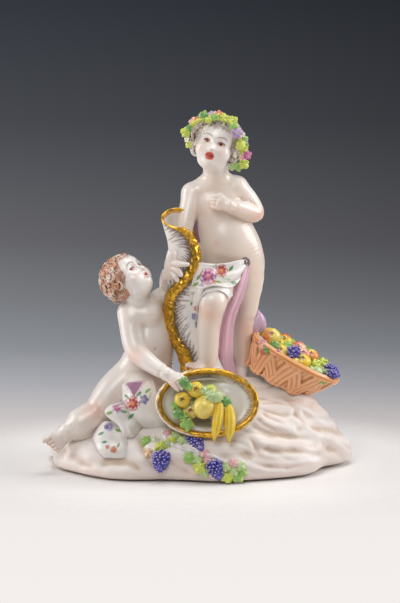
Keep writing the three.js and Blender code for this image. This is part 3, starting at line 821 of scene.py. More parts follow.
class Clay:
    """Lumps of clay melted into one body, with dents pressed into it."""

    MARGIN = 7.0

    def __init__(self, lumps: Iterable[Lump], dents: Iterable[Lump] = ()) -> None:
        """Keeps the lumps in the order in which they are joined."""
        self.lumps = list(lumps)
        self.dents = list(dents)

    def _near(self, lump: Lump, points: Array) -> Array:
        """The points close enough to a lump to feel it.

        Args:
            lump: the lump.
            points: one place in each row.

        Returns:
            The numbers of those points.
        """
        low, high = lump.room()
        reach = self.MARGIN + lump.melt
        return np.nonzero(((points > low - reach) & (points < high + reach)).all(1))[0]

    def field(self, points: Array) -> tuple[Array, Array, Array]:
        """The body's surface as seen from each point.

        Args:
            points: one place in each row.

        Returns:
            The distance to it, the way out of it, and the number of the lump that is nearest.
        """
        depth = np.full(len(points), 1e3)
        way = np.tile(Z, (len(points), 1))
        owner = np.zeros(len(points), int)
        best = depth.copy()
        for number, lump in enumerate(self.lumps):
            some = self._near(lump, points)
            d, n = lump.reach(points[some])
            win = d < best[some]
            owner[some[win]] = number
            best[some[win]] = d[win]
            h = np.clip(0.5 + 0.5 * (depth[some] - d) / lump.melt, 0, 1)
            depth[some] = depth[some] * (1 - h) + d * h - lump.melt * h * (1 - h)
            way[some] = way[some] * (1 - h)[:, None] + n * h[:, None]
        for dent in self.dents:
            some = self._near(dent, points)
            d, n = dent.reach(points[some])
            h = np.clip(0.5 - 0.5 * (depth[some] + d) / dent.melt, 0, 1)
            depth[some] = depth[some] * (1 - h) - d * h + dent.melt * h * (1 - h)
            way[some] = way[some] * (1 - h)[:, None] - n * h[:, None]
        way /= np.linalg.norm(way, axis=1, keepdims=True) + 1e-12
        return depth, way, owner

    def block_out(self, name: str, voxel: float) -> bpy.types.Mesh:
        """Packs eggs into every lump and fuses them into one rough mesh.

        Args:
            name: what the mesh is called.
            voxel: the size of its faces.

        Returns:
            The mesh.
        """
        gathering = Gathering()
        form, ball = Gathering.form(2)
        for lump in self.lumps:
            for centre, axes, radii in lump.stations():
                gathering.add(form, centre + (ball * radii) @ axes)
        rough = gathering.surface(name).mesh
        holder = bpy.data.objects.new(name, rough)
        bpy.context.scene.collection.objects.link(holder)
        fuse = holder.modifiers.new("fuse", "REMESH")
        fuse.mode = "VOXEL"
        fuse.voxel_size = voxel
        bpy.context.view_layer.update()
        graph = bpy.context.evaluated_depsgraph_get()
        fused = bpy.data.meshes.new_from_object(holder.evaluated_get(graph))
        bpy.data.objects.remove(holder)
        bpy.data.meshes.remove(rough)
        return fused

    def settle(self, surface: Surface, rounds: int, relax: float) -> Array:
        """Draws the surface onto the body's true form, and returns each point's nearest lump."""
        for step in range(rounds):
            depth, way, owner = self.field(surface.points)
            surface.points -= way * np.clip(depth, -1.2, 1.2)[:, None]
            if step < rounds - 2:
                surface.smooth(1, relax)
        return owner

    def body(self, name: str, voxel: float) -> tuple[Surface, Array]:
        """The finished body and each point's nearest lump."""
        surface = Surface(name, self.block_out(name, voxel))
        return surface, self.settle(surface, 6, 0.5)

    def tags(self, owner: Array, tag: Tag) -> Array:
        """Where the nearest lump has this tag, as 0 or 1."""
        marks = np.array([lump.tag is tag for lump in self.lumps], float)
        return marks[owner]


def refine(surface: Surface, clay: Clay, inside: Callable[[Array], Array]) -> tuple[Surface, Array]:
    """Halves the mesh where a finer form is wanted, and settles it again.

    Args:
        surface: the mesh, which is changed.
        clay: the body that it follows.
        inside: says which points are wanted finer.

    Returns:
        The finer surface, and the number of the lump nearest to each point.
    """
    surface.store()
    chosen = inside(surface.points)
    bm = bmesh.new()
    bm.from_mesh(surface.mesh)
    bm.verts.ensure_lookup_table()
    edges = [e for e in bm.edges if chosen[e.verts[0].index] and chosen[e.verts[1].index]]
    bmesh.ops.subdivide_edges(bm, edges=edges, cuts=1, use_grid_fill=True)
    bm.to_mesh(surface.mesh)
    bm.free()
    finer = Surface(surface.name, surface.mesh)
    return finer, clay.settle(finer, 4, 0.3)


class Motif(Enum):
    """What is painted on the cloth."""

    ROSE = "rose"
    DAISY = "daisy"
    LEAF = "leaf"
    SPRIG = "sprig"
    DOTS = "dots"
    CORNER = "corner"


@dataclass(frozen=True)
class Painted:
    """A painted motif, placed by the pixel it has in the picture, or by (x, z) on the back."""

    motif: Motif
    pixel: tuple[float, float]
    size: float
    colour: Paint
    turn: float = 0.0
    behind: bool = False

    def lay(self, surface: Surface, facing: Array) -> None:
        """Paints the motif on the side of the surface that faces its viewer.

        Args:
            surface: the cloth.
            facing: how much each point faces the viewer, from -1 to 1.
        """
        if self.behind:
            flat = np.stack([surface.points[:, 0] - self.pixel[0], surface.points[:, 2] - self.pixel[1]], 1)
            seen = facing < -0.15
        else:
            flat = (VIEW.pixels(surface.points) - self.pixel) * VIEW.pixel * [1, -1]
            seen = facing > 0.05
        c, s = math.cos(self.turn), math.sin(self.turn)
        u, v = (flat @ np.array([[c, -s], [s, c]]) / self.size).T
        r = np.hypot(u, v)
        near = seen & (r < 1.6)
        if not near.any():
            return
        a = np.arctan2(v, u)
        fade = near.astype(float)
        deep = self.colour.light * 0.45
        if self.motif is Motif.ROSE:
            edge = 0.9 + 0.1 * np.cos(7 * a)
            surface.lay(fade * rise(edge, edge - 0.16, r) * 0.85, self.colour)
            rings = 0.5 + 0.5 * np.cos(r * 13 + 0.9 * np.cos(5 * a))
            surface.lay(fade * rise(0.45, 0.8, rings) * rise(1.0, 0.85, r) * 0.9, deep)
            petals = rise(0.2, 0.8, np.cos(7 * a + 0.6)) * bell(r - 0.68, 0.17)
            surface.lay(fade * petals * 0.7, Paint.GLAZE)
            surface.lay(fade * bell(r, 0.13), Paint.YELLOW)
        elif self.motif is Motif.DAISY:
            edge = 0.6 + 0.4 * np.abs(np.cos(2.5 * a))
            surface.lay(fade * rise(edge, edge - 0.2, r) * 0.85, self.colour)
            surface.lay(fade * bell(r - 0.95 * edge, 0.13) * 0.6, deep)
            surface.lay(fade * bell(r, 0.25), Paint.YELLOW)
        elif self.motif is Motif.LEAF:
            width = 0.46 * (1 - u**2) * (1 + 0.12 * np.cos(16 * u))
            blade = fade * rise(0.0, 0.12, width - np.abs(v))
            surface.lay(blade * 0.9, self.colour)
            vein = bell(v, 0.07) + 0.5 * bell(np.abs(v) - 0.5 * (u % 0.3), 0.05)
            surface.lay(blade * np.clip(vein, 0, 1) * 0.7, deep)
        elif self.motif is Motif.SPRIG:
            bend = v - 0.25 * np.sin(2.2 * u)
            surface.lay(fade * bell(bend, 0.06) * (np.abs(u) < 1) * 0.8, self.colour)
            leaves = rise(0.2, 0.5, np.cos(11 * u) * np.sign(v)) * bell(np.abs(bend) - 0.15, 0.1)
            surface.lay(fade * leaves * (np.abs(u) < 1) * 0.9, self.colour)
        elif self.motif is Motif.CORNER:
            inside = np.minimum(0.62 * (v + 1) - np.abs(u), 0.7 - v)
            surface.lay(fade * rise(0, 0.1, inside) * 0.8, self.colour)
            beads = rise(-0.3, 0.4, np.sin(26 * u) + np.sin(26 * v))
            surface.lay(fade * bell(inside + 0.1, 0.07) * beads * 0.9, Paint.ROSE)
        else:
            for k in range(9):
                spot = np.array([math.cos(2.4 * k), math.sin(2.4 * k)]) * 0.28 * math.sqrt(k)
                tone = self.colour.light * (1.5 if k % 3 == 0 else 1.0)
                surface.lay(fade * bell(np.hypot(u - spot[0], v - spot[1]), 0.2) * 0.9, tone)


def painted(*rows: tuple, behind: bool = False) -> tuple[Painted, ...]:
    """Motifs from rows of kind, place, size, paint and turn."""
    return tuple(
        Painted(kind, (across, down), size, *look, behind=behind)
        for kind, across, down, size, *look in rows
    )


def decorate(surface: Surface, motifs: Sequence[Painted]) -> None:
    """Paints motifs on a cloth."""
    facing = surface.normals() @ VIEW.back
    for motif in motifs:
        motif.lay(surface, facing)


def detail(fine: float, rough: float) -> float:
    return fine


def chance(numbers: Array, seed: float = 0.0) -> Array:
    """A repeatable random share from 0 to 1 for each whole number."""
    return np.abs(np.sin(numbers * 12.9898 + seed * 78.233) * 43758.5453) % 1


def strokes(along: Array, off: Array, pitch: float, length: float, seed: float) -> Array:
    """Tapering brush strokes that start at off = 0 and feather out.

    Args:
        along: the distance along the line that they start from.
        off: the distance from that line.
        pitch: the space between two strokes.
        length: how long the longest is.
        seed: which set of random lengths to use.

    Returns:
        The strokes as a mask from 0 to 1.
    """
    number = np.floor(along / pitch)
    reach = length * (0.4 + 0.6 * chance(number, seed))
    left = np.clip(1 - off / reach, 0, 1)
    middle = 0.5 + 0.2 * (chance(number, seed + 1) - 0.5)
    return bell(along / pitch - number - middle, 0.12 + 0.3 * left) * rise(0, 0.3, left) * (off > -0.5)


# Creases seen on the front of the rock: their width and depth in millimetres and the pixels that they pass
CREASES = (
    (2.4, 1.3, ((256, 396), (268, 398), (283, 396.5), (297, 399.5), (308, 404.5), (317, 411))),
    (1.3, 1.5, ((264, 413.5), (268, 418), (274, 421), (282, 424.5))),
    (2.6, 1.2, ((262, 411), (275, 413.5), (286, 419))),
    (1.5, 1.3, ((288, 402), (294, 408.5), (296, 416), (302, 423), (297, 428))),
    (1.6, 1.0, ((298, 410), (308, 414.5))),
    (2.4, 1.2, ((303, 418), (318, 426.5), (334, 431.5), (346, 438))),
    (2.6, 2.0, ((250, 424), (262, 430), (273, 434), (284, 436.5), (296, 438), (312, 439))),
    (2.0, 1.8, ((256, 446), (266, 449.5), (278, 450.5), (292, 451), (306, 452.5), (322, 455.5))),
    (2.2, 1.2, ((230, 449), (244, 453), (258, 457), (274, 460.5), (294, 462))),
    (1.5, 1.0, ((250, 437), (255, 447), (259, 456))),
    (3.2, 1.5, ((100, 463), (112, 461), (128, 463), (143, 469))),
    (3.0, 1.2, ((62, 452), (76, 458), (88, 466), (98, 473))),
    (2.6, 1.6, ((139, 438), (143, 448), (150, 461), (158, 474))),
    (3.0, 1.2, ((168, 462), (184, 470), (200, 476))), (2.0, 1.0, ((312, 446), (326, 448), (338, 452))),
    (1.0, 0.7, ((262, 404), (276, 403), (290, 406))),
    (1.0, 0.8, ((256, 417), (262, 424), (276, 430), (284, 431))),
    (1.0, 0.7, ((283, 443), (300, 445), (318, 448))), (1.0, 0.7, ((306, 424), (322, 432), (338, 438))),
    (1.1, 0.8, ((268, 468), (290, 467), (314, 463))), (1.0, 0.7, ((246, 462), (262, 466), (278, 467))),
    (1.0, 0.7, ((262, 440), (276, 443), (290, 444))),
)


@dataclass
class Mound:
    """The rocky mound: a lobed oval with a flat underside and slanting folds in its flanks."""

    half_width: float = 104.0
    half_depth: float = 58.0
    shares: tuple[float, ...] = (0, 0.25, 0.5, 0.75, 0.9, 1)
    heights: tuple[tuple[float, ...], ...] = (
        (62, 64, 57, 50, 34, 17), (62, 62, 54, 42, 28, 14), (62, 60, 50, 34, 22, 11),
        (62, 56, 46, 32, 20, 10), (62, 56, 48, 31, 19, 9), (62, 54, 43, 28, 21, 10),
        (62, 57, 40, 31, 25, 11), (62, 60, 52, 40, 26, 13),
    )
    columns: int = 470
    rows: int = 104
    fold_pitch: float = 8.6
    fold_depth: float = 2.3

    def height(self, x: Array, y: Array) -> Array:
        """The height of the rock's top.

        Args:
            x: places to the right.
            y: places away from the viewer.

        Returns:
            The height at each place.
        """
        table = np.array(self.heights, float)
        share = np.minimum(0.9999, np.hypot(x / self.half_width, y / self.half_depth))
        heading = (np.arctan2(y / self.half_depth, x / self.half_width) / TAU * 8) % 8
        low = np.floor(heading).astype(int) % 8
        stops = np.array(self.shares)
        step = np.searchsorted(stops, share, side="right") - 1
        t = (share - stops[step]) / (stops[step + 1] - stops[step])
        here, there = (table[k, step] * (1 - t) + table[k, step + 1] * t for k in (low, (low + 1) % 8))
        mix = rise(0, 1, heading - np.floor(heading))
        return here * (1 - mix) + there * mix

    def seen(self, across: float, down: float, out: float = 0.0) -> Array:
        """The place on the rock that is seen at a pixel, moved a little towards the viewer.

        Args:
            across: pixels from the left.
            down: pixels from the top.
            out: how far it is moved.

        Returns:
            The place.
        """
        depths = np.linspace(-self.half_depth, 20, 240)
        places = np.array([VIEW.spot(across, down, depth) for depth in depths])
        x, y, z = places.T
        met = (np.hypot(x / self.half_width, y / self.half_depth) < 1) & (z < self.height(x, y))
        return places[np.argmax(met)] + VIEW.back * out

    def shape(self, along: Array, around: Array) -> Array:
        """The rings from the middle of the underside, round the foot and up to the peak.

        Args:
            along: the share of the way from pole to pole.
            around: the angle round the ring.

        Returns:
            The place of each point.
        """
        share = np.interp(along, [0, 0.09, 0.12, 0.15, 0.19, 1], [0, 0.985, 1.0, 1.01, 0.985, 0])
        rising = np.interp(along, [0.09, 0.12, 0.15, 0.19], [0, 0.3, 0.62, 1])
        lobes = 1 + 0.03 * np.sin(5 * around + 0.6) + 0.02 * np.sin(9 * around + 2)
        x = self.half_width * share * lobes * np.cos(around)
        y = self.half_depth * share * lobes * np.sin(around)
        return np.stack([x, y, rising * self.height(x, y)], 1)

    def carve(self, rock: Surface) -> None:
        """Cuts the slanting folds and creases, and paints their valleys warmer and darker: painted shade, and
        in the creases also their pink tint.

        Args:
            rock: the surface, which is changed.
        """
        x, y, z = rock.points.T
        drift = ripple(rock.points * [1, 1, 1.4], 60, 3) * 3.2 + ripple(rock.points, 22, 4) * 1.0
        level = (z + 0.21 * y + 0.11 * x + drift) / self.fold_pitch
        back = np.abs(np.sin(math.pi * level)) ** 0.55
        finer = np.abs(np.sin(math.pi * (level * 2.3 + 0.4 + ripple(rock.points, 30, 6) * 0.5))) ** 0.7
        strong = 0.22 + 0.78 * rise(-15, 32, x)
        seen = VIEW.pixels(rock.points)
        front = rise(0.02, 0.3, rock.normals() @ VIEW.back) * (y < 12)
        strong = strong * (1 - 0.55 * front)
        for wide, deep, line in CREASES:
            track = smooth_line([(*place, 0) for place in line], 60)[:, :2]
            apart = ((seen[:, None] - track[None]) ** 2).sum(2)
            end = np.sin(math.pi * (0.03 + 0.94 * apart.argmin(1) / 59)) ** 0.5
            far = np.sqrt(apart.min(1)) * VIEW.pixel
            valley = bell(far, wide) * end * front
            rock.push((bell(far - 2.6 * wide, 1.6 * wide) * 0.35 * end * front - valley) * deep)
            # Painted shade in each crease's valley, together with the pink tint that the cracks have.
            rock.lay(valley * 0.2, Paint.PEACH)
        amount = ((back - 0.7) * self.fold_depth + (finer - 0.6) * 0.45) * strong
        amount += ripple(rock.points, 13, 5) * 0.3
        rock.push(amount * rise(1.5, 9, z))
        # Painted shade: the valleys of the folds are tinted darker and warmer.
        rock.lay(rise(0.35, 0.05, back) * strong * 0.16, Paint.PEACH)

    def build(self) -> None:
        """Makes the rock."""
        rock, along, _ = ringed("rock", detail(self.columns, 256), detail(self.rows, 70), self.shape)
        rock.smooth(detail(12, 4))
        self.carve(rock)
        rock.smooth(1, 0.3)
        rock.points[:, 2] = np.where(along < 0.085, 0, np.maximum(rock.points[:, 2], 0))
        # The whole rock has a light peach tint of its own; its steep sides get painted shade in peach and
        # brown.
        steep_shade = rise(0.5, 0.05, rock.normals()[:, 2])
        rock.lay(0.08 + 0.12 * steep_shade, Paint.PEACH)
        rock.lay(0.07 * steep_shade, Paint.BROW)
        rock.pool(1.3)
        # Painted shade: the rock is darker just above the table, where it meets it.
        foot_shade = rise(3.5, 0.2, rock.points[:, 2]) * (along > 0.085)
        rock.lay(foot_shade * 0.35, Paint.BROW)
        rock.matt = 0.7
        rock.finish(Slot.PORCELAIN)


@dataclass
class Horn:
    """The horn of plenty: a hollow horn with a gilded mouth, lip and winding ridge."""

    line: tuple[Point, ...] = (
        (7, -42, 53.5), (7, -29, 50), (6.5, -18, 57), (4, -12, 68), (0.5, -9, 80), (-5, -7, 92),
        (-9.2, -5, 106), (-9.5, -4, 120), (-9, -4, 134), (-9, -3.5, 148), (-10.5, -3.5, 160),
        (-12.8, -6, 171), (-13.6, -9, 178),
    )
    girths: tuple[Point, ...] = (
        (34, 22.5), (26, 20), (19, 17), (14.5, 14.5), (12.6, 12.8), (12.4, 12.4), (12.4, 12), (12, 11.6),
        (11.6, 11), (11, 10.4), (10, 9.6), (10.4, 9.8), (11.6, 10.8),
    )
    # The pixels that the gilded ridge passes, from the lip down to the mouth
    ridge: tuple[tuple[float, float], ...] = (
        (164, 210), (166, 217), (173, 222), (183, 228), (191, 237), (195.4, 248), (196, 259),
        (193, 269), (186, 279), (176.5, 289), (170, 298), (168, 307), (168, 317), (170.5, 329),
        (175, 340), (182.5, 352), (185, 364), (186, 372),
    )
    ridge_width: float = 6.4
    ridge_height: float = 2.0
    lip_cut: float = 0.2
    columns: int = 168
    rows: int = 340
    # Along the rings: place, share of the line, wall taken off the girth, share of the girth
    section: tuple[tuple[float, float, float, float], ...] = (
        (0, 0.1, 2.4, 0), (0.04, 0.09, 2.4, 0.62), (0.11, 0.02, 2.6, 1), (0.122, 0.0, 2.6, 1),
        (0.13, -0.012, 1.8, 1), (0.138, -0.016, 0.4, 1), (0.148, -0.012, -1.2, 1), (0.158, 0.004, -1.9, 1),
        (0.17, 0.018, -1.4, 1), (0.19, 0.034, 0, 1), (0.88, 0.985, 0, 1), (0.895, 0.998, 0, 1),
        (0.905, 1.004, 0.7, 1), (0.915, 1.0, 1.6, 1), (0.97, 0.84, 2, 1), (1, 0.82, 2, 0),
    )

    def from_ridge(self, points: Array) -> tuple[Array, Array]:
        """How far down the ridge each point lies as it is seen, and how far to its left, in millimetres.

        Args:
            points: one place in each row.

        Returns:
            Both distances for each point.
        """
        track = smooth_line([(x, y, 0) for x, y in self.ridge], 240)[:, :2]
        way = np.concatenate([[0], np.cumsum(lengths(np.diff(track, axis=0)))])
        seen = VIEW.pixels(points)
        near = ((seen[:, None] - track[None]) ** 2).sum(2).argmin(1)
        ahead = np.gradient(track, axis=0)
        ahead /= np.linalg.norm(ahead, axis=1, keepdims=True)
        arm = seen - track[near]
        left = arm[:, 1] * ahead[near, 0] - arm[:, 0] * ahead[near, 1]
        far = lengths(arm) * np.sign(left)
        return way[near] * VIEW.pixel, far * VIEW.pixel

    def share(self, along: Array, around: Array) -> Array:
        """The share of the line that a ring's point is at: the lip slopes down to the right.

        Args:
            along: the share of the way from pole to pole.
            around: the angle round the ring.

        Returns:
            The share of the line for each point.
        """
        stops, share = np.array(self.section)[:, 0], np.array(self.section)[:, 1]
        turned = np.angle(np.exp(1j * (around + 0.1)))
        cut = self.lip_cut * np.exp(-((turned / 0.78) ** 2)) + 0.02 * np.exp(-(((turned + 1.5) / 0.8) ** 2))
        return np.interp(along, stops, share) - cut * rise(0.5, 0.86, along) * rise(1.0, 0.93, along)

    def shape(self, along: Array, around: Array) -> Array:
        """The rings from the bottom of the mouth, over its rim, up the horn and into the lip.

        Args:
            along: the share of the way from pole to pole.
            around: the angle round the ring.

        Returns:
            The place of each point.
        """
        stops, _, wall, girth = np.array(self.section).T
        t = self.share(along, around)
        # The floor of the mouth rises to the right
        t = t - 0.08 * rise(-0.4, 0.8, np.cos(around)) * rise(0.115, 0.02, along) * rise(0, 0.012, along)
        roll = Roll(self.line, self.girths)
        centre, size, ahead, wide, deep = roll.at(t)
        length = 13.0 * (len(self.line) - 1)
        centre = centre + ahead * ((t - np.clip(t, 0, 1)) * length)[:, None]
        size = (size - np.interp(along, stops, wall)[:, None]) * np.interp(along, stops, girth)[:, None]
        place = centre + wide * (size[:, :1] * np.cos(around)[:, None])
        return place + deep * (size[:, 1:] * np.sin(around)[:, None])

    def build(self) -> None:
        """Makes the horn."""
        rows = detail(self.rows, 220)
        horn, along, around = ringed("horn", detail(self.columns, 120), rows, self.shape)
        t = self.share(along, around)
        outside = rise(0.15, 0.19, along) * rise(0.9, 0.88, along)
        facing = rise(0.0, 0.3, horn.normals() @ VIEW.back)
        way, left = self.from_ridge(horn.points)
        half = self.ridge_width / 2 * (1 + 0.8 * rise(112, 128, way) + 0.3 * bell(way - 85, 11))
        front = outside * facing * rise(0.03, 0.06, t)
        crest = np.clip(1 - (np.abs(left) / (half * 1.2)) ** 2, 0, 1) ** 0.6 * front
        grain = ripple(horn.points, 4.2, 8) * 0.3 + ripple(horn.points, 2.2, 9) * 0.12
        valley = bell(np.abs(left) - half - 3.0, 2.4) * 0.8 * front
        lumpy = bell(along - 0.145, 0.012) * (0.5 + ripple(horn.points, 6, 12) * 0.3)
        horn.push(crest * (self.ridge_height + grain) - valley * outside + lumpy * 0.6)
        horn.smooth(1, 0.3)
        dark = Paint.STROKE.light * 0.6
        for sign, seed in ((1, 2.0), (-1, 5.0)):
            off = left * sign - half
            ragged = strokes(way + off * 0.5, off, 1.7, 5.0, seed) * front
            upper = rise(66, 52, way) if sign > 0 else rise(56, 66, way)
            horn.lay(ragged * upper, Paint.STROKE.light * 0.8)
            long = strokes(way + off * 0.8, off, 2.9, 12, seed + 1) * front
            horn.lay(long * 0.8 * (1 if sign > 0 else upper), Paint.WICKER_DEEP.light * 0.7)
        horn.lay(rise(0.1, 0.3, crest), dark)
        edge = np.where(left > 0, 1.3, 0.9) * bell(np.abs(left) - half, 0.9)
        speck = rise(0.95, 1.3, 0.8 * ripple(horn.points, 1.6, 31) + edge)
        inner = rise(0.125, 0.12, along)
        depth = (0.118 - along) * 400
        dashes = strokes(around * 25, depth, 2.4, 9, 7.0) * inner * (depth > 0)
        broken = rise(-0.2, 0.3, ripple(horn.points, 14, 41) + np.cos(around))
        horn.lay(dashes * 0.8 * broken, Paint.WICKER_DEEP.light * 0.7)
        # Dark mauve on the far inside of the lip: a purple tint there, darkened as painted shade.
        deep_in = rise(0.95, 0.985, along) * rise(-14, -9, horn.points[:, 0])
        horn.lay(deep_in * 0.8, Paint.MAUVE.light * 0.4)
        fleck = rise(0.9, 1.4, ripple(horn.points, 1.7, 33))
        rim = rise(0.117, 0.121, along) * rise(0.172, 0.164, along)
        gap = bell(along - 0.149, 0.006) * rise(0.2, 0.5, -np.cos(around))
        lip = rise(0.872, 0.878, along) * rise(0.93, 0.922, along)
        horn.lay((rim + lip) * fleck * 0.8, Paint.WICKER_DEEP)
        horn.gild(rise(0.2, 0.45, crest) * (1 - speck * 0.8))
        horn.gild(rim * (1 - gap) * (1 - fleck * 0.6))
        horn.gild(lip * (1 - fleck * 0.6))
        horn.pool(1.2)
        # Painted light: the inside of the mouth is painted whiter than its lighting makes it.
        horn.lay(rise(0.112, 0.1, along) * 0.55, Paint.WHITE)
        horn.finish(Slot.GILDING)


@dataclass
class Child:
    """A modelled child: the parts of its body are lumps of clay, melted together."""

    name: str
    head: Point
    gaze: Point
    crown: Point
    hair: Paint
    hair_depth: float
    trunk: tuple[Point, ...]
    tall: float = 35.0
    nape: float = -0.62
    mouth: float = 1.0
    warmth: float = 1.0
    # The space between two turns of a lock, in millimetres
    lock_pitch: float = 1.9
    # Places, with the reach round them, where the body is modelled more finely
    fine: tuple[tuple[Point, float], ...] = ()
    voxel: float = 0.84

    @property
    def face(self) -> Frame:
        """The head's own right, ahead and top."""
        return Frame(self.head, self.gaze, self.crown)

    @property
    def body_roll(self) -> Roll:
        """The trunk, from neck to seat."""
        rows = np.array(self.trunk, float)
        return Roll(rows[:, :3].tolist(), rows[:, 3:].tolist(), melt=3.5)

    def lumps(self) -> list[Lump]:
        """The lumps of the body below the head."""
        return []

    def dents(self) -> list[Lump]:
        """The hollows pressed into the body."""
        return []

    def on_head(self, x: float, y: float, z: float) -> Array:
        """A place given in shares of the head's height."""
        return self.face.place(np.array([x, y, z]) * self.tall)

    def egg(self, place: Point, radii: Point | float, melt: float = 2.0, tag: Tag = Tag.SKIN) -> Ball:
        """An egg of clay on the head, in shares of its height."""
        size = np.broadcast_to(np.asarray(radii, float), 3) * self.tall
        return Ball(self.on_head(*place), size, self.face, melt, tag)

    def cord(self, places: Sequence[Point], girths: Sequence[float], melt: float,
             tag: Tag = Tag.SKIN) -> Roll:
        """A roll of clay on the head, in shares of its height."""
        path = [self.on_head(*p) for p in places]
        return Roll(path, [g * self.tall for g in girths], self.face.top, melt, tag)

    def head_lumps(self) -> list[Lump]:
        """The skull, face, nose, lips, eyes and ears.

        Returns:
            The lumps, in the order in which they are joined.
        """
        made = [
            self.egg((0, -0.06, 0.08), (0.4, 0.44, 0.42), 3),
            self.egg((0, 0.12, -0.18), (0.32, 0.3, 0.31), 4),
            self.egg((0, 0.14, 0.1), (0.3, 0.26, 0.24), 4),
            self.egg((0, 0.16, -0.33), (0.22, 0.18, 0.14), 3),
            self.egg((0, 0.29, -0.405), (0.085, 0.09, 0.075), 2.4),
            self.egg((0, 0.08, -0.42), (0.26, 0.24, 0.16), 4),
            self.cord([(0, 0.35, 0.0), (0, 0.4, -0.09), (0, 0.445, -0.165)], [0.03, 0.034, 0.046], 1.8),
            self.cord([(-0.1, 0.35, -0.292), (-0.035, 0.395, -0.272), (0.035, 0.395, -0.272),
                       (0.1, 0.35, -0.292)],
                      [0.012, 0.024, 0.024, 0.012], 0.5, Tag.LIPS),
            self.cord([(-0.085, 0.345, -0.325), (0, 0.39, -0.35), (0.085, 0.345, -0.325)],
                      [0.014, 0.03, 0.014], 0.6, Tag.LIPS),
        ]
        for s in (-1, 1):
            lid = [(s * 0.075, 0.325, -0.045), (s * 0.15, 0.345, 0.008), (s * 0.225, 0.285, -0.045)]
            low = [(s * 0.08, 0.32, -0.055), (s * 0.15, 0.325, -0.085), (s * 0.22, 0.28, -0.055)]
            made += [
                self.egg((s * 0.19, 0.2, -0.22), 0.155, 3),
                self.egg((s * 0.045, 0.392, -0.175), 0.032, 0.9),
                self.egg((s * 0.15, 0.25, -0.035), (0.075, 0.082, 0.064), 0.3),
                self.cord(lid, [0.01, 0.017, 0.01], 0.5),
                self.cord(low, [0.008, 0.011, 0.008], 0.6),
                self.egg((s * 0.41, -0.02, -0.1), (0.045, 0.085, 0.105), 1.0),
            ]
        return made

    def head_dents(self) -> list[Lump]:
        """The eye sockets, the parted mouth and the shells of the ears.

        Returns:
            The dents.
        """
        sockets = [self.egg((s * 0.15, 0.44, -0.03), (0.1, 0.105, 0.07), 3.0) for s in (-1, 1)]
        ears = [self.egg((s * 0.455, 0.0, -0.09), (0.03, 0.045, 0.06), 0.8) for s in (-1, 1)]
        slit = self.cord([(-0.05, 0.43, -0.308), (0, 0.445, -0.308), (0.05, 0.43, -0.308)],
                         [0.03, 0.045, 0.03],
                         0.4)
        under_lip = self.egg((0, 0.42, -0.392), (0.07, 0.05, 0.02), 1.2)
        return [*sockets, *ears, slit, under_lip]

    def curls(self) -> list[Ball]:
        """The locks over the crown and the nape.

        Returns:
            One egg for each lock.
        """
        eggs = [((0.03, -0.08, 0.06), (0.52, 0.51, 0.455)), ((0.03, -0.2, -0.16), (0.48, 0.36, 0.36))]
        count = 150
        made = []
        for k in range(count):
            z = 1 - 2 * (k + 0.5) / count
            a = k * GOLDEN_ANGLE
            way = np.array([math.cos(a) * math.sqrt(1 - z * z), math.sin(a) * math.sqrt(1 - z * z), z])
            if way[1] > 0.16 + 0.6 * way[2] or way[2] < self.nape:
                continue
            reach = 0.0
            for centre, radii in eggs:
                o, d = -np.array(centre) / radii, way / radii
                p, q, r = d @ d, 2 * o @ d, o @ o - 1
                room = q * q - 4 * p * r
                reach = max(reach, (-q + math.sqrt(room)) / (2 * p)) if room > 0 else reach
            size = 0.088 + 0.03 * float(chance(np.array([k]), 3)[0])
            spot = self.on_head(*(way * (reach - 0.045)))
            out = way @ self.face.axes
            radii = np.array([size, 0.065, size]) * self.tall
            made.append(Ball(spot, radii, Frame(spot, out, Z + 0.1 * X), 0.7, Tag.CURL))
        return made

    def cap(self) -> list[Ball]:
        """The hair under the locks."""
        return [
            self.egg((0, -0.13, 0.1), (0.49, 0.455, 0.44), 1.0, Tag.CAP),
            self.egg((0, -0.2, -0.16), (0.42, 0.33, -0.54 * self.nape), 1.5, Tag.CAP),
        ]

    def hand(self, wrist: Point, reach: Point, back: Point, thumb: int, curl: float,
             size: float = 1.0) -> list[Lump]:
        """A plump hand, with its palm away from its back and its thumb on the given side.

        Args:
            wrist: where it starts.
            reach: the way of its fingers.
            back: the way that its back faces.
            thumb: 1 for a thumb on its right, or -1.
            curl: how far the fingers are bent, from 0 to 1.
            size: its share of the usual size.

        Returns:
            Its lumps.
        """
        f = Frame(wrist, reach, back)

        def roll(path: Sequence[Point], girths: Sequence, melt: float) -> Roll:
            """A roll in the hand's own directions."""
            places = [f.place(np.array(p) * size) for p in path]
            return Roll(places, (np.array(girths) * size).tolist(), f.right, melt)

        palm = [(0, -1, 0), (0, 4, 0.4), (0, 8.5, 0)]
        made: list[Lump] = [roll(palm, [(3.7, 3.1), (4.9, 2.8), (4.7, 2.2)], 1.6)]
        for x, long in ((-4.1, 0.82), (-1.4, 1.0), (1.4, 1.0), (4.0, 0.82)):
            path = [
                (x, 7, 0.2), (x * 1.08, 8 + 4 * long, -2.4 * curl),
                (x, 8 + (8 - 4 * curl) * long, -7 * curl),
            ]
            made.append(roll(path, [1.6, 1.5, 1.15], 0.25))
        path = [(thumb * 2.8, 2.5, -0.3), (thumb * 5.4, 6.6, -1.2), (thumb * 6.2, 10, -1.8)]
        made.append(roll(path, [2.1, 1.75, 1.35], 1.0))
        return made

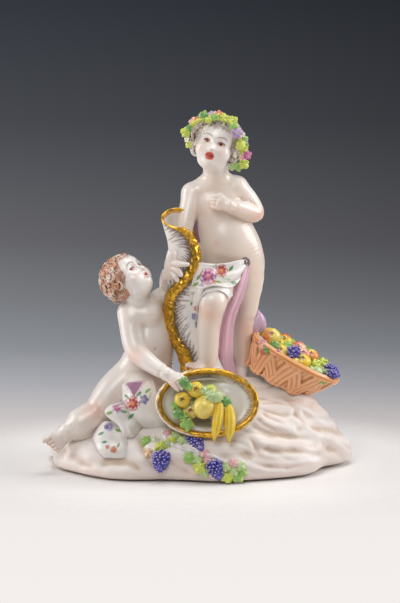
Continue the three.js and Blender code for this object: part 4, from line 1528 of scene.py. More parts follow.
    def foot(self, ankle: Point, toes: Point, top: Point, big: int, size: float = 1.0) -> list[Lump]:
        """A bare foot, with its big toe on the given side.

        Args:
            ankle: where it starts.
            toes: the way of its toes.
            top: the way that its top faces.
            big: 1 for a big toe on its right, or -1.
            size: its share of the usual size.

        Returns:
            Its lumps.
        """
        f = Frame(ankle, toes, top)
        stops = [(0, -3.2, -3.2), (0, 2, -3.2), (0, 7, -4.6), (0, 11, -5.6)]
        girths = np.array([(4.6, 5), (5.4, 5), (6.4, 3.9), (6.9, 2.7)]) * size
        made: list[Lump] = [Roll([f.place(np.array(p) * size) for p in stops], girths.tolist(), f.right, 2)]
        for k, x in enumerate((5.2, 2.0, -0.8, -3.4, -5.6)):
            girth = 2.4 if k == 0 else 1.8 - 0.1 * k
            far = 16.4 - 0.7 * k
            path = [f.place(np.array(p) * size) for p in ((big * x, 11, -5.6), (big * x * 1.08, far, -6.4))]
            made.append(Roll(path, [girth * 0.9 * size, girth * size], f.right, 0.25))
        return made

    def dress_hair(self, surface: Surface, clay: Clay, owner: Array, locks: Sequence[Ball]) -> None:
        """Carves the locks and paints the hair, with painted highlights on the locks' crests.

        Args:
            surface: the child's surface.
            clay: the child's clay.
            owner: the number of the lump nearest to each point.
            locks: the locks, which are the last lumps.
        """
        q = self.face.local(surface.points) / self.tall
        x, _, z = q.T
        first = len(clay.lumps) - len(locks)
        groove = np.zeros(len(q))
        for number, lock in enumerate(locks):
            mine = np.nonzero(owner == first + number)[0]
            u, _, w = lock.turn.local(surface.points[mine]).T
            far = np.hypot(u, w)
            turn = 1 if number % 2 else -1
            spiral = np.arctan2(w, u) * turn + far * TAU / self.lock_pitch + number
            groove[mine] = np.cos(spiral) * rise(0.2, 0.9, far)
        hair, cap = clay.tags(owner, Tag.CURL), clay.tags(owner, Tag.CAP)
        surface.push(groove * hair * 0.26)
        strand = np.sin(np.arctan2(x, z) * 60 + ripple(q, 0.2, 6) * 3)
        patchy = 0.75 + 0.25 * ripple(q, 0.22, 12)
        surface.lay((hair + cap) * self.hair_depth * patchy, self.hair)
        line = np.where(cap > 0.5, strand, -groove)
        dashed = rise(-0.35, 0.15, ripple(surface.points, 3.4, 14))
        surface.lay((hair + cap) * rise(0.1, 0.7, line) * dashed * 0.95, self.hair.light * 0.16)
        # Painted highlight: white on the raised crests of the locks.
        surface.lay(hair * rise(0.75, 1.0, groove) * 0.5, Paint.GLAZE)
        fringe = strokes(x * 40 + 50, (0.31 - z + 0.2 * x * x) * self.tall, 1.2, 4.6, 4.0)
        skin = self.front_skin(surface, clay, owner)
        surface.lay(fringe * skin * (z > 0.1) * (z < 0.36) * 0.85, self.hair.light * 0.7)

    def front_skin(self, surface: Surface, clay: Clay, owner: Array) -> Array:
        """Where the skin of the face is, as 0 or 1.

        Args:
            surface: the child's surface.
            clay: the child's clay.
            owner: the number of the lump nearest to each point.

        Returns:
            The mask.
        """
        x, y, _ = self.face.local(surface.points).T / self.tall
        return (1 - clay.tags(owner, Tag.CURL) - clay.tags(owner, Tag.CAP)) * (y > 0.1) * (np.abs(x) < 0.4)

    def paint_face(self, surface: Surface, clay: Clay, owner: Array) -> None:
        """Paints the cheeks, brows, eyes, lips and nostrils, in shares of the head's height.

        Args:
            surface: the child's surface.
            clay: the child's clay.
            owner: the number of the lump nearest to each point.
        """
        x, y, z = self.face.local(surface.points).T / self.tall
        skin = self.front_skin(surface, clay, owner)
        ahead = y > 0.1
        for side in (-1, 1):
            surface.lay(bell(np.hypot(x - side * 0.21, z + 0.2), 0.1) * skin * 0.22, Paint.BLUSH)
            u = x - side * 0.15
            brow = bell(z - (0.1 - 4.2 * u**2), 0.012) * rise(0.115, 0.08, np.abs(u))
            surface.lay(brow * skin * 0.75, Paint.BROW)
            almond = (u / 0.075) ** 2 + ((z + 0.034) / 0.038) ** 2
            surface.lay(rise(1.2, 0.7, almond) * ahead * 0.75, Paint.LID)
            iris = np.hypot(u - 0.006, z + 0.032)
            surface.lay(rise(0.038, 0.024, iris) * ahead * 0.95, Paint.EYE)
            surface.lay(rise(0.022, 0.012, iris) * ahead * 0.9, Paint.EYE.light * 0.15)
            lid = bell(z - (0.006 - 6.5 * u**2), 0.011) * rise(0.085, 0.065, np.abs(u))
            surface.lay(lid * ahead * 0.8, Paint.STROKE)
        surface.lay(clay.tags(owner, Tag.LIPS) * 0.6 * self.mouth, Paint.LIPS)
        low = z + 0.308
        lips = rise(1.05, 0.8, np.hypot(x / 0.1, low / 0.078) / self.mouth)
        surface.lay(lips * (y > 0.25) * 0.9, Paint.LIPS)
        surface.lay(rise(1.1, 0.8, np.hypot(x / 0.07, low / 0.022)) * (y > 0.3) * 0.9, Paint.MOUTH)
        nostril = np.minimum(np.hypot(x - 0.03, z + 0.2), np.hypot(x + 0.03, z + 0.2))
        surface.lay(bell(nostril, 0.014) * skin * 0.6, Paint.BLUSH)

    def tint_flesh_and_shade(self, surface: Surface, spots: Sequence[tuple[Point, float, float]]) -> None:
        """Lays flesh colour, with warm painted shade on the sides facing down, and blushes the given places.

        Args:
            surface: the child's surface.
            spots: blushes as (place, size, strength).
        """
        # The base flesh tint is the children's own colour; the extra on surfaces facing down and forward is
        # painted warm shade.
        turned = surface.normals() @ unit([0.3, -0.6, -0.75])
        body = rise(0.5, 0.8, lengths(surface.points - self.head) / self.tall)
        surface.lay((0.12 + 0.3 * rise(-0.2, 0.9, turned)) * (0.15 + 0.85 * body) * self.warmth, Paint.FLESH)
        for place, size, strength in spots:
            far = lengths(surface.points - np.array(place, float))
            surface.lay(bell(far, size) * strength, Paint.BLUSH)

    def spots(self) -> list[tuple[Point, float, float]]:
        """Blushes as (place, size, strength)."""
        return []

    def build(self) -> Clay:
        """Makes the child.

        Returns:
            Its clay, for cloth to lie on.
        """
        locks = self.curls()
        clay = Clay([*self.lumps(), *self.head_lumps(), *self.cap(), *locks],
                    [*self.dents(), *self.head_dents()])
        surface, owner = clay.body(self.name, detail(self.voxel, 1.3))
        places = ((self.head, self.tall * 0.62), *self.fine)
        finer = [(np.array(place, float), size) for place, size in places]

        def near(points: Array) -> Array:
            """Whether each point is in a finer part."""
            return np.any([lengths(points - place) < size for place, size in finer], axis=0)

        surface, owner = refine(surface, clay, near)
        self.tint_flesh_and_shade(surface, self.spots())
        surface.pool(1.0)
        self.dress_hair(surface, clay, owner, locks)
        self.paint_face(surface, clay, owner)
        surface.finish()
        return clay


@dataclass
class StandingChild(Child):
    """The standing child, with one knee raised and a hand on its chest."""

    name: str = "standing_child"
    head: Point = (14, 8, 227)
    gaze: Point = (-0.16, -0.95, 0.24)
    crown: Point = (0.3, 0.2, 0.93)
    hair: Paint = Paint.DARK_HAIR
    hair_depth: float = 0.48
    trunk: tuple[Point, ...] = (
        (13, 9, 210, 8.6, 8.6), (12.8, 11.5, 202, 9.6, 9), (12.8, 12.5, 195, 15, 10),
        (15.5, 12, 183, 18, 12.2), (16, 11, 172, 18.2, 13), (19.8, 10, 161, 20.4, 14),
        (23.2, 10, 150, 22, 15.4), (24.6, 11.5, 138, 22.6, 16), (25.5, 12, 124, 19, 13.5),
    )
    shoulder_r: Point = (-3, 11.5, 190)
    wrist_r: Point = (-9, -4, 154)
    shoulder_l: Point = (27, 13, 194)
    elbow_l: Point = (39.5, 8, 177.5)
    wrist_l: Point = (22.0, -5.5, 185.0)
    knee_r: Point = (10.8, -20.5, 118.5)
    ankle_r: Point = (7.4, -21.5, 79)
    ankle_l: Point = (31, 13, 67)
    fine: tuple[tuple[Point, float], ...] = (((14, -8, 188), 12), ((-2, -28, 76), 12))

    def lumps(self) -> list[Lump]:
        """The trunk, arms and legs.

        Returns:
            The lumps, in the order in which they are joined.
        """
        arm_l = [self.shoulder_l, (35.5, 11, 185), self.elbow_l, (31, 1, 181), self.wrist_l]
        leg_r = [(16, 9, 131), (14, -9, 127), self.knee_r, (8, -18.5, 102), self.ankle_r]
        leg_l = [(32.6, 13, 129), (32.8, 12, 112), (31.2, 11, 97), (31, 12.5, 82), self.ankle_l]
        return [
            self.body_roll,
            Roll([self.shoulder_r, (13, 13, 197), self.shoulder_l], [7.6, 8, 8], Z, 3.5),
            Ball((20.5, 3, 156), (14, 9.5, 15), None, 5),
            Ball((8.5, 6.5, 184), (8.5, 6, 6.5), None, 5),
            Ball((21.5, 7.5, 186), (8, 6, 6.5), None, 5),
            Ball((17.5, 22, 128), (9.5, 8, 10), None, 3),
            Ball((32, 22, 127), (9.5, 8, 10), None, 3),
            Roll([self.shoulder_r, (-8, 0, 170), self.wrist_r], [7.8, 5.8, 4.2], X, 2.5),
            Roll(arm_l, [8.2, 7.2, 6.6, 5.9, 4.6], X, 2.5, creases=((0.93, 0.12, 0.02),)),
            *self.hand(self.wrist_l, (-0.93, -0.22, 0.28), (-0.1, -0.95, 0.1), 1, 0.75, 0.88),
            Roll(leg_r, [14, 11.6, 9, 8.2, 6.8], X, 3),
            Ball((10.6, -22.5, 119.5), (8.7, 7.6, 9.4), None, 3),
            *self.foot(self.ankle_r, (-0.8, -0.6, 0.12), (0.1, -0.1, 1), 1, 0.8),
            Roll(leg_l, [13.6, 10.2, 8.4, 7.6, 5.4], X, 3, creases=((0.42, 0.05, 0.03),)),
            *self.foot(self.ankle_l, (-0.35, -0.93, -0.1), Z, -1),
        ]

    def dents(self) -> list[Lump]:
        """The navel, the spine and the crease under the belly."""
        return [
            Ball((13.3, -8.2, 158), (1.3, 3.2, 1.7), None, 1.5),
            Roll([(13, 24, 196), (17, 25.5, 172), (23, 27.5, 150)], [1.6, 2, 1.6], X, 4),
            Roll([(25, 32, 134), (25, 33, 122)], [1.4, 1.4], X, 4),
        ]

    def spots(self) -> list[tuple[Point, float, float]]:
        """Blushes on the elbow, knees, hand, navel and toes."""
        return [
            ((44, 4, 175), 7, 0.4), ((8, -27, 114), 6, 0.4), ((33, 1, 97), 7, 0.3), ((8, -9, 187), 5, 0.25),
            ((-4, -30, 76), 6, 0.3), ((25, -3, 62), 6, 0.35), ((13, -8, 158), 3, 0.4), ((9, -2, 182), 3, 0.2),
        ]


# The thumb and fingers of the hand that holds the horn, as pixels with a depth, and their girths
GRIP = (
    (((170.5, 266, -10), (169.5, 259, -12), (169.8, 252, -12)), (2.9, 2.6, 1.7)),
    (((172, 262.5, -12), (179, 264, -17), (187.5, 264.5, -18.8)), (2.9, 2.2, 1.5)),
    (((172, 267, -12), (177.5, 270.5, -16.5), (181, 275, -17.5)), (2.6, 2.2, 1.6)),
    (((171.5, 271.5, -11), (175, 276, -15.5), (177.5, 280.5, -16.5)), (2.4, 2.0, 1.5)),
)


@dataclass
class SeatedChild(Child):
    """The seated child, leaning back, with an arm into the horn's mouth and a hand on the horn."""

    name: str = "seated_child"
    head: Point = (-48.5, -12, 136.3)
    gaze: Point = (0.5, -0.42, 0.76)
    crown: Point = (-0.66, 0.35, 0.66)
    hair: Paint = Paint.RED_HAIR
    hair_depth: float = 0.95
    trunk: tuple[Point, ...] = (
        (-43, -10, 126, 8.8, 8.6), (-41, -8.5, 120.5, 9.4, 8.8), (-39, -7, 113, 14, 10),
        (-37.5, -6, 103, 16.2, 11.6), (-34, -6.5, 92, 16.4, 12.4), (-32.5, -7, 82, 16.4, 13.2),
        (-35.5, -5, 71, 18.4, 14.4), (-39, -4, 58, 16.5, 13),
    )
    wrist_r: Point = (-21, -42, 74)
    wrist_l: Point = (-20.6, -5, 137)
    ankle_r: Point = (-89.5, -20, 28)
    tall: float = 32.5
    nape: float = -0.36
    mouth: float = 0.55
    warmth: float = 0.6
    fine: tuple[tuple[Point, float], ...] = (
        ((-17, -11, 143), 11), ((-96, -31, 20), 13), ((-12, -50, 68), 12),
    )

    def lumps(self) -> list[Lump]:
        """The trunk, arms and legs.

        Returns:
            The lumps, in the order in which they are joined.
        """
        arm_r = [(-47, -9, 110), (-42.5, -21, 87.5), (-33, -33, 80), self.wrist_r]
        arm_l = [(-32, -3, 114), (-21, 9, 120.5), (-20.8, 3, 131), self.wrist_l]
        leg_r = [(-47.5, -5, 62.5), (-58, -9, 53), (-69.5, -15, 40), (-81.5, -18, 32), self.ankle_r]
        leg_l = [(-38, -9, 60), (-38, -26, 49), (-27.5, -23.5, 40.5)]
        return [
            self.body_roll,
            Ball((-33, -14, 88), (11, 9, 13), Frame((0, 0, 0), (0.3, -1, 0), Z), 5),
            Ball((-43, -13, 108), (8, 6.5, 6.5), None, 4),
            Ball((-33, -12.5, 109), (7.5, 6.5, 6.5), None, 4),
            Ball((-46, 6, 62), (9.5, 8, 9), None, 3),
            Ball((-32, 6, 62), (9.5, 8, 9), None, 3),
            Roll(arm_r, [8.6, 7.8, 6.2, 4.8], X, 2.5, creases=((0.95, 0.1, 0.02),)),
            *self.hand(self.wrist_r, (0.78, -0.42, -0.45), (0.2, -0.75, 0.62), -1, 0.35),
            Roll(arm_l, [7.8, 6.6, 5.4, 4.2], X, 2.5, creases=((0.93, 0.12, 0.02),)),
            Roll(VIEW.spots([(171, 275, -7), (170.5, 265, -10), (172.5, 254, -12)]), [4.2, 4.4, 3.4], X, 2),
            *(Roll(VIEW.spots(path), girths, X, 0.4) for path, girths in GRIP),
            Roll(leg_r, [13.6, 13, 11, 11.6, 7.2], Y, 3, creases=((0.5, 0.04, 0.03),)),
            *self.foot(self.ankle_r, (-0.5, -0.8, -0.28), (0.6, -0.55, 0.55), 1),
            Roll(leg_l, [12.5, 12, 11], X, 3),
        ]

    def dents(self) -> list[Lump]:
        """The spine, the navel and the folds of the waist."""
        return [
            Roll([(-38, 5, 112), (-35, 7, 95), (-35, 10, 76)], [1.6, 2, 1.6], X, 4),
            Ball((-28.5, -23.5, 87), (0.9, 2.4, 1.2), Frame((0, 0, 0), (0.3, -1, 0), Z), 1.5),
            Roll([(-50, -4, 88), (-50.5, -12, 86), (-46, -19, 85)], [1.2, 1.4, 1.2], X, 3),
        ]

    def spots(self) -> list[tuple[Point, float, float]]:
        """Blushes on the elbow, knee, hand and toes."""
        return [
            ((-42, -29, 83), 7, 0.4), ((-72, -25, 44), 7, 0.4), ((-103, -33, 18), 7, 0.4),
            ((-16, -10, 144), 5, 0.3), ((-16, -48, 68), 4, 0.3),
        ]


@dataclass
class Cloth:
    """A painted cloth laid over guide lines, which run from one edge to the other.

    The guides' places are pixels with a depth, or with a distance off the rock if the cloth lies on it.
    """

    name: str
    guides: tuple[tuple[Point, ...], ...]
    pleats: float
    deep: float
    thick: float = 2.2
    spacing: float = 0.45
    hem: Paint = Paint.PINK
    lining: Paint | None = None
    motifs: tuple[Painted, ...] = ()
    sweep: float = 2.2
    fade: bool = True
    bulge: float = 0.0
    hem_width: float = 0.7
    rock: Mound | None = None
    # How far the cloth is drawn in to the body under it
    hug: float = 0.0

    def grid(self, along: int, across: int) -> Array:
        """The places of the cloth's middle, from the first guide to the last.

        Args:
            along: how many places there are from the first guide to the last.
            across: how many there are along a guide.

        Returns:
            The places, as rows of columns.
        """
        spot = self.rock.seen if self.rock else VIEW.spot
        lines = np.array([smooth_line([spot(*place) for place in guide], across) for guide in self.guides])
        return smooth_line(lines.reshape(len(lines), -1), along).reshape(along, across, 3)

    def drape(self, along: int, across: int, under: Clay | None) -> tuple[Array, Array]:
        """Folds the cloth and draws it in to the body under it.

        Args:
            along: how many places there are from the first guide to the last.
            across: how many there are along a guide.
            under: the body that it lies on, if there is one.

        Returns:
            The places of its middle, and the way out of it before it was drawn in.
        """
        place = self.grid(along, across)
        out = np.cross(np.gradient(place, axis=0), np.gradient(place, axis=1))
        out /= np.linalg.norm(out, axis=2, keepdims=True) + 1e-9
        u, v = np.meshgrid(np.linspace(0, 1, along), np.linspace(0, 1, across), indexing="ij")
        wave = np.sin(TAU * self.pleats * v + self.sweep * u)
        fine = np.sin(TAU * self.pleats * 2.3 * v - 3 * u + 1.0)
        gathered = np.sin(np.pi * np.minimum(1, u * 0.9 + 0.1)) if self.fade else 1.0
        crisp = np.sign(wave) * np.abs(wave) ** 0.8
        round_out = self.bulge * np.sqrt(np.sin(math.pi * u) * np.sin(math.pi * v))
        place = place + out * ((crisp + 0.3 * fine) * self.deep * gathered + round_out)[..., None]
        if under is None:
            return place, out
        flat = place.reshape(-1, 3)
        for _ in range(2):
            depth, way, _ = under.field(flat)
            flat = flat + way * np.clip(self.thick * 0.45 - depth, -self.hug * (depth < 9), 4)[:, None]
        place = flat.reshape(place.shape)
        for _ in range(3):
            place[1:-1] += (place[2:] + place[:-2] - 2 * place[1:-1]) * 0.25
            place[:, 1:-1] += (place[:, 2:] + place[:, :-2] - 2 * place[:, 1:-1]) * 0.25
        return place, out

    def thicken(self, place: Array, out: Array) -> tuple[Surface, Array, Array]:
        """Makes a closed sheet round the places.

        Args:
            place: the places of its middle, as rows of columns.
            out: the way out of it at each place.

        Returns:
            The sheet, and each point's shares of the way along and across it.
        """
        along, across = place.shape[:2]
        bm = bmesh.new()
        bmesh.ops.create_grid(bm, x_segments=along - 1, y_segments=across - 1, size=1)
        ends = bm.verts.layers.float.new("along")
        edge = bm.verts.layers.float.new("across")
        for vert in bm.verts:
            i = round((vert.co.x + 1) / 2 * (along - 1))
            j = round((vert.co.y + 1) / 2 * (across - 1))
            vert[ends], vert[edge] = i / (along - 1), j / (across - 1)
            vert.co = place[i, j] + out[i, j] * self.thick / 2
        made = bmesh.ops.extrude_face_region(bm, geom=bm.faces[:], use_keep_orig=True)["geom"]
        for vert in (v for v in made if isinstance(v, bmesh.types.BMVert)):
            i, j = round(vert[ends] * (along - 1)), round(vert[edge] * (across - 1))
            vert.co = place[i, j] - out[i, j] * self.thick / 2
        bmesh.ops.recalc_face_normals(bm, faces=bm.faces)
        t = np.array([v[ends] for v in bm.verts])
        s = np.array([v[edge] for v in bm.verts])
        mesh = bpy.data.meshes.new(self.name)
        bm.to_mesh(mesh)
        bm.free()
        return Surface(self.name, mesh), t, s

    def build(self, under: Clay | None = None) -> None:
        """Makes the cloth.

        Args:
            under: the body that it lies on, if there is one.
        """
        rough = self.grid(20, 20)
        length = lengths(np.diff(rough[:, 10], axis=0)).sum()
        width = lengths(np.diff(rough[10], axis=0)).sum()
        step = detail(self.spacing, 0.9)
        along, across = int(length / step) + 2, int(width / step) + 2
        place, out = self.drape(along, across, under)
        cloth, t, s = self.thicken(place, out)
        near = np.minimum(np.minimum(s, 1 - s) * width, np.minimum(t, 1 - t) * length)
        soft = rise(3 * step, step, near)[:, None]
        for _ in range(4):
            cloth.points += (cloth.around(cloth.points) - cloth.points) * 0.6 * soft
        cloth.push(bell(near - 1.0, 0.8) * 0.35)
        sheet_out = out[np.round(t * (along - 1)).astype(int), np.round(s * (across - 1)).astype(int)]
        outer = (cloth.normals() * sheet_out).sum(1) > -0.2
        cloth.lay(~outer * 0.8, self.lining or Paint.GLAZE)
        cloth.pool(1.2)
        if self.lining:
            streak = 0.5 + 0.5 * np.sin(TAU * self.pleats * 4 * s + 9 * t + ripple(cloth.points, 7, 3) * 1.5)
            cloth.lay(outer * (0.42 + 0.3 * streak), self.lining)
        decorate(cloth, self.motifs)
        hem = s * width if self.rock else near
        cloth.lay(bell(hem, self.hem_width) * 0.6, self.hem)
        cloth.finish()


ROCK = Mound()
ROSE, DAISY, LEAFY, SPRIG, DOTS, CORNER = Motif

HIP_MOTIFS = painted(
    (LEAFY, 199, 277, 2.8, Paint.DEEP_LEAF, 0.9), (LEAFY, 195.5, 284.5, 2.9, Paint.LEAF, 0.5),
    (ROSE, 208, 276.5, 6.2, Paint.ROSE), (ROSE, 221.5, 270.5, 4.8, Paint.RED),
    (LEAFY, 231, 268.5, 2.8, Paint.DEEP_LEAF, 0.9), (LEAFY, 234, 283, 2.8, Paint.DEEP_LEAF, -0.3),
    (LEAFY, 218.5, 282, 2.4, Paint.LEAF, -0.3), (DAISY, 201, 286.5, 2.3, Paint.LILAC),
    (SPRIG, 226.5, 279, 2.8, Paint.LEAF, -0.6), (DAISY, 214.5, 282, 1.5, Paint.ORANGE),
    (SPRIG, 216, 265, 2.4, Paint.DEEP_LEAF, 0.4),
)
FALL_MOTIFS = painted(
    (ROSE, 196.5, 308.5, 2.4, Paint.RED), (ROSE, 194, 316.5, 2.8, Paint.BLUE),
    (LEAFY, 191, 304, 2.0, Paint.DEEP_LEAF, 1.2), (LEAFY, 196.5, 324, 2.2, Paint.DEEP_LEAF, -0.8),
    (SPRIG, 193, 334, 2.4, Paint.LEAF, 1.4),
)
LAP_MOTIFS = painted(
    (CORNER, 134, 388, 6.6, Paint.MAUVE), (ROSE, 132.5, 403.5, 5.6, Paint.RED),
    (DAISY, 144, 399.5, 3.4, Paint.BLUE), (ROSE, 117, 408.5, 3.4, Paint.ROSE),
    (LEAFY, 139, 394, 2.8, Paint.DEEP_LEAF, 0.8), (LEAFY, 148, 390.5, 2.8, Paint.LEAF, 0.6),
    (LEAFY, 127, 396.8, 2.6, Paint.DEEP_LEAF, 2.4), (LEAFY, 109.5, 413, 2.8, Paint.LEAF, 0.3),
    (LEAFY, 131, 416.3, 3.0, Paint.DEEP_LEAF, 0.7), (LEAFY, 123.6, 411.5, 2.4, Paint.DEEP_LEAF, -0.4),
    (SPRIG, 150, 396, 2.6, Paint.LEAF, 0.9), (DAISY, 122, 403, 1.6, Paint.LILAC),
)
TAIL_MOTIFS = painted(
    (ROSE, 109.5, 426.5, 3.4, Paint.LILAC), (DAISY, 106, 427, 1.6, Paint.BLUE),
    (LEAFY, 101, 433.5, 2.6, Paint.DEEP_LEAF, 0.5), (LEAFY, 118, 430.5, 2.6, Paint.LEAF, -0.4),
    (ROSE, 113.5, 449.5, 2.8, Paint.ORANGE), (DAISY, 107.5, 447, 1.5, Paint.RED),
    (LEAFY, 104.5, 442, 2.2, Paint.DEEP_LEAF, 0.2), (LEAFY, 118.5, 445, 2.2, Paint.LEAF, 1.0),
)
BACK_MOTIFS = painted(
    (ROSE, 22, 112, 5.0, Paint.ROSE), (LEAFY, 30, 107, 3.6, Paint.DEEP_LEAF, -0.5),
    (LEAFY, 14, 106, 3.6, Paint.DEEP_LEAF, 2.4), (DAISY, 10, 122, 3.0, Paint.RED),
    (DAISY, 32, 128, 2.6, Paint.BLUE), (DAISY, 26, 86, 3.4, Paint.LILAC),
    (LEAFY, 18, 82, 3.0, Paint.DEEP_LEAF, 0.4), (SPRIG, 33, 92, 3.4, Paint.LEAF, 1.2),
    (DAISY, 12, 74, 2.8, Paint.ORANGE), (ROSE, 33, 68, 4.2, Paint.ROSE),
    (LEAFY, 25, 63, 3.2, Paint.DEEP_LEAF, -0.8), (SPRIG, 9, 92, 3.2, Paint.DEEP_LEAF, 0.6),
    (LEAFY, 20, 134, 2.8, Paint.LEAF, 0.2), (DAISY, 38, 80, 2.2, Paint.RED), behind=True,
)

OVER_HIPS = Cloth(
    "cloth_over_hips",
    (
        ((246.5, 259.5, -2), (246, 263, -4), (244.5, 268, -4)),
        ((238, 260.5, -8), (238, 271, -12), (236.5, 283, -12)),
        ((227, 263.5, -12), (228, 275, -17), (227.5, 288.5, -20)),
        ((214, 265, -14), (214, 275, -21), (213.5, 286.5, -26)),
        ((203, 263, -12), (202, 277, -20), (199.5, 291, -23)),
        ((196.5, 262, -6), (194, 278, -13), (190.5, 294, -16)),
    ),
    2.0, 0.9, motifs=HIP_MOTIFS, hem=Paint.GLAZE,
)
BESIDE_KNEE = Cloth(
    "cloth_beside_knee",
    (
        ((189, 287, -10), (195, 286, -18), (203, 287, -28)),
        ((188, 301, -11), (193.5, 300, -17), (200.5, 297, -26)),
        ((189, 318, -12), (194, 318, -16), (199.5, 317, -20)),
        ((191.5, 335, -12), (195, 336, -13.5), (198.5, 335, -15)),
    ),
    1.5, 0.9, motifs=FALL_MOTIFS, hem=Paint.GLAZE,
)
ROUND_KNEE = Cloth(
    "cloth_round_knee",
    (
        ((198, 303, -20), (199.5, 303, -23), (201, 303, -23)),
        ((198.5, 292, -22), (200.5, 293, -26), (202.5, 294, -26)),
        ((205, 286, -23), (206.5, 288.5, -26), (208, 291, -28)),
        ((215, 284, -23), (215.5, 286.5, -26), (216, 289, -28)),
        ((226, 287, -20), (225.5, 289, -25), (224.5, 291, -25)),
        ((230, 296, -14), (228.5, 298, -20), (227, 300, -20)),
    ),
    1.0, 0.2, thick=1.5, hem=Paint.GLAZE, hug=5.0,
)
LINING = Cloth(
    "cloth_lining",
    (
        ((243.5, 266, -4), (245.5, 265.5, -5), (248, 265, -3)),
        ((236.5, 284, -8), (241, 283, -10.5), (246, 281, -6)),
        ((228.5, 300, -9), (234.5, 300, -11), (240.5, 299, -6)),
        ((223, 315, -9), (229, 315, -11), (235, 314, -6)),
        ((221, 330, -8), (226.5, 330, -10), (232, 330, -5)),
        ((217, 356, -6), (225, 356, -8), (232.5, 356, -4)),
        ((217.5, 374, -5), (227, 375, -7), (237.5, 374, -3)),
    ),
    2.2, 0.8, lining=Paint.LINING, hem=Paint.ROSE,
)
UNDER_ARM = Cloth(
    "cloth_under_arm",
    (
        ((189.5, 219, 3), (193, 220, 1), (196.5, 222, 3)), ((191, 231, 3), (194.5, 231, 1), (198.5, 232, 3)),
        ((194, 242, 2), (197, 243, 0), (200.5, 243, 2)),
    ),
    1.5, 0.5, lining=Paint.MAUVE, hem=Paint.MAUVE,
)
LAP = Cloth(
    "cloth_over_lap",
    (
        ((124.5, 385, -19), (131, 384.5, -22), (139, 383.5, -24), (147, 381, -24), (155, 378, -22)),
        ((119, 399, -29), (127, 398.5, -34), (138, 398, -37), (149, 396, -37), (160, 394, -31)),
        ((105, 412, -35), (117, 412, -39), (130, 413, -41), (148, 410, -39.5), (165, 408, -33)),
        ((118, 423, -38), (124, 424, -41), (131, 425, -42.5), (147, 422, -38), (168, 419, -31)),
        ((123, 431, -39), (127, 432, -41), (132, 433, -41), (148, 430, -35), (170, 427, -28)),
        ((124, 437, -33), (128, 440, -34), (133, 440, -34), (149, 436, -29), (170, 433, -24)),
    ),
    1.4, 0.7, thick=2.0, spacing=0.56, hem=Paint.GLAZE, motifs=LAP_MOTIFS, sweep=0.8, fade=False, hug=7.0,
)
TAIL = Cloth(
    "cloth_tail",
    (
        ((101, 427, 5.5), (107, 422, 9.5), (113, 421.5, 10), (121, 426, 5)),
        ((97, 433, 4), (106, 431, 8.5), (116, 430, 7.5), (125, 433, 1.5)),
        ((94.5, 440, 2), (104, 440, 6), (116, 441, 4), (127, 443, -2)),
        ((98, 449, 1.5), (107, 449, 5), (117, 450, 2.5), (128, 451, -3)),
        ((105, 456.5, 0.5), (111, 457.5, 1), (119, 458, -1.5), (128, 457, -4)),
    ),
    1.2, 0.6, thick=3.0, motifs=TAIL_MOTIFS, sweep=1.5, fade=False, bulge=1.0, hem=Paint.MAUVE, hem_width=2.2,
    rock=ROCK,
)


@dataclass
class BackDrape:
    """The cloth that falls behind the standing child, over the stump that carries it."""

    rows: tuple[Point, ...] = (
        (24, 22, 47, 23, 13), (24, 22, 72, 21, 12), (24, 22, 92, 19, 11), (21, 21, 116, 17, 10),
        (21, 17, 143, 17, 9),
    )
    pleats: int = 7
    deep: float = 1.5

    def shape(self, along: Array, around: Array) -> Array:
        """The rings from the foot to the top.

        Args:
            along: the share of the way from pole to pole.
            around: the angle round the ring.

        Returns:
            The place of each point.
        """
        rows = np.array(self.rows, float)
        t = np.clip((along - 0.04) / 0.9, 0, 1)
        centre, size, ahead, wide, deep = Roll(rows[:, :3].tolist(), rows[:, 3:].tolist()).at(t)
        share = np.sqrt(np.clip(np.minimum(along / 0.04, (1 - along) / 0.06), 0, 1))
        fold = np.sin(self.pleats * around + 3.2 * t + 0.8 * np.sin(2 * around))
        fine = np.sin(2.4 * self.pleats * around - 4 * t)
        swell = self.deep * (1 - 0.45 * t) * (np.sign(fold) * np.abs(fold) ** 0.75 + 0.3 * fine)
        size = (size + swell[:, None]) * share[:, None]
        centre = centre + ahead * ((along - 0.94) / 0.06 * 4 * (along > 0.94))[:, None]
        place = centre + wide * (size[:, :1] * np.cos(around)[:, None])
        return place + deep * (size[:, 1:] * np.sin(around)[:, None])

    def build(self) -> None:
        """Makes the cloth."""
        drape, _, _ = ringed("cloth_behind", detail(180, 140), detail(100, 80), self.shape)
        drape.pool(1.3)
        decorate(drape, BACK_MOTIFS)
        drape.finish()


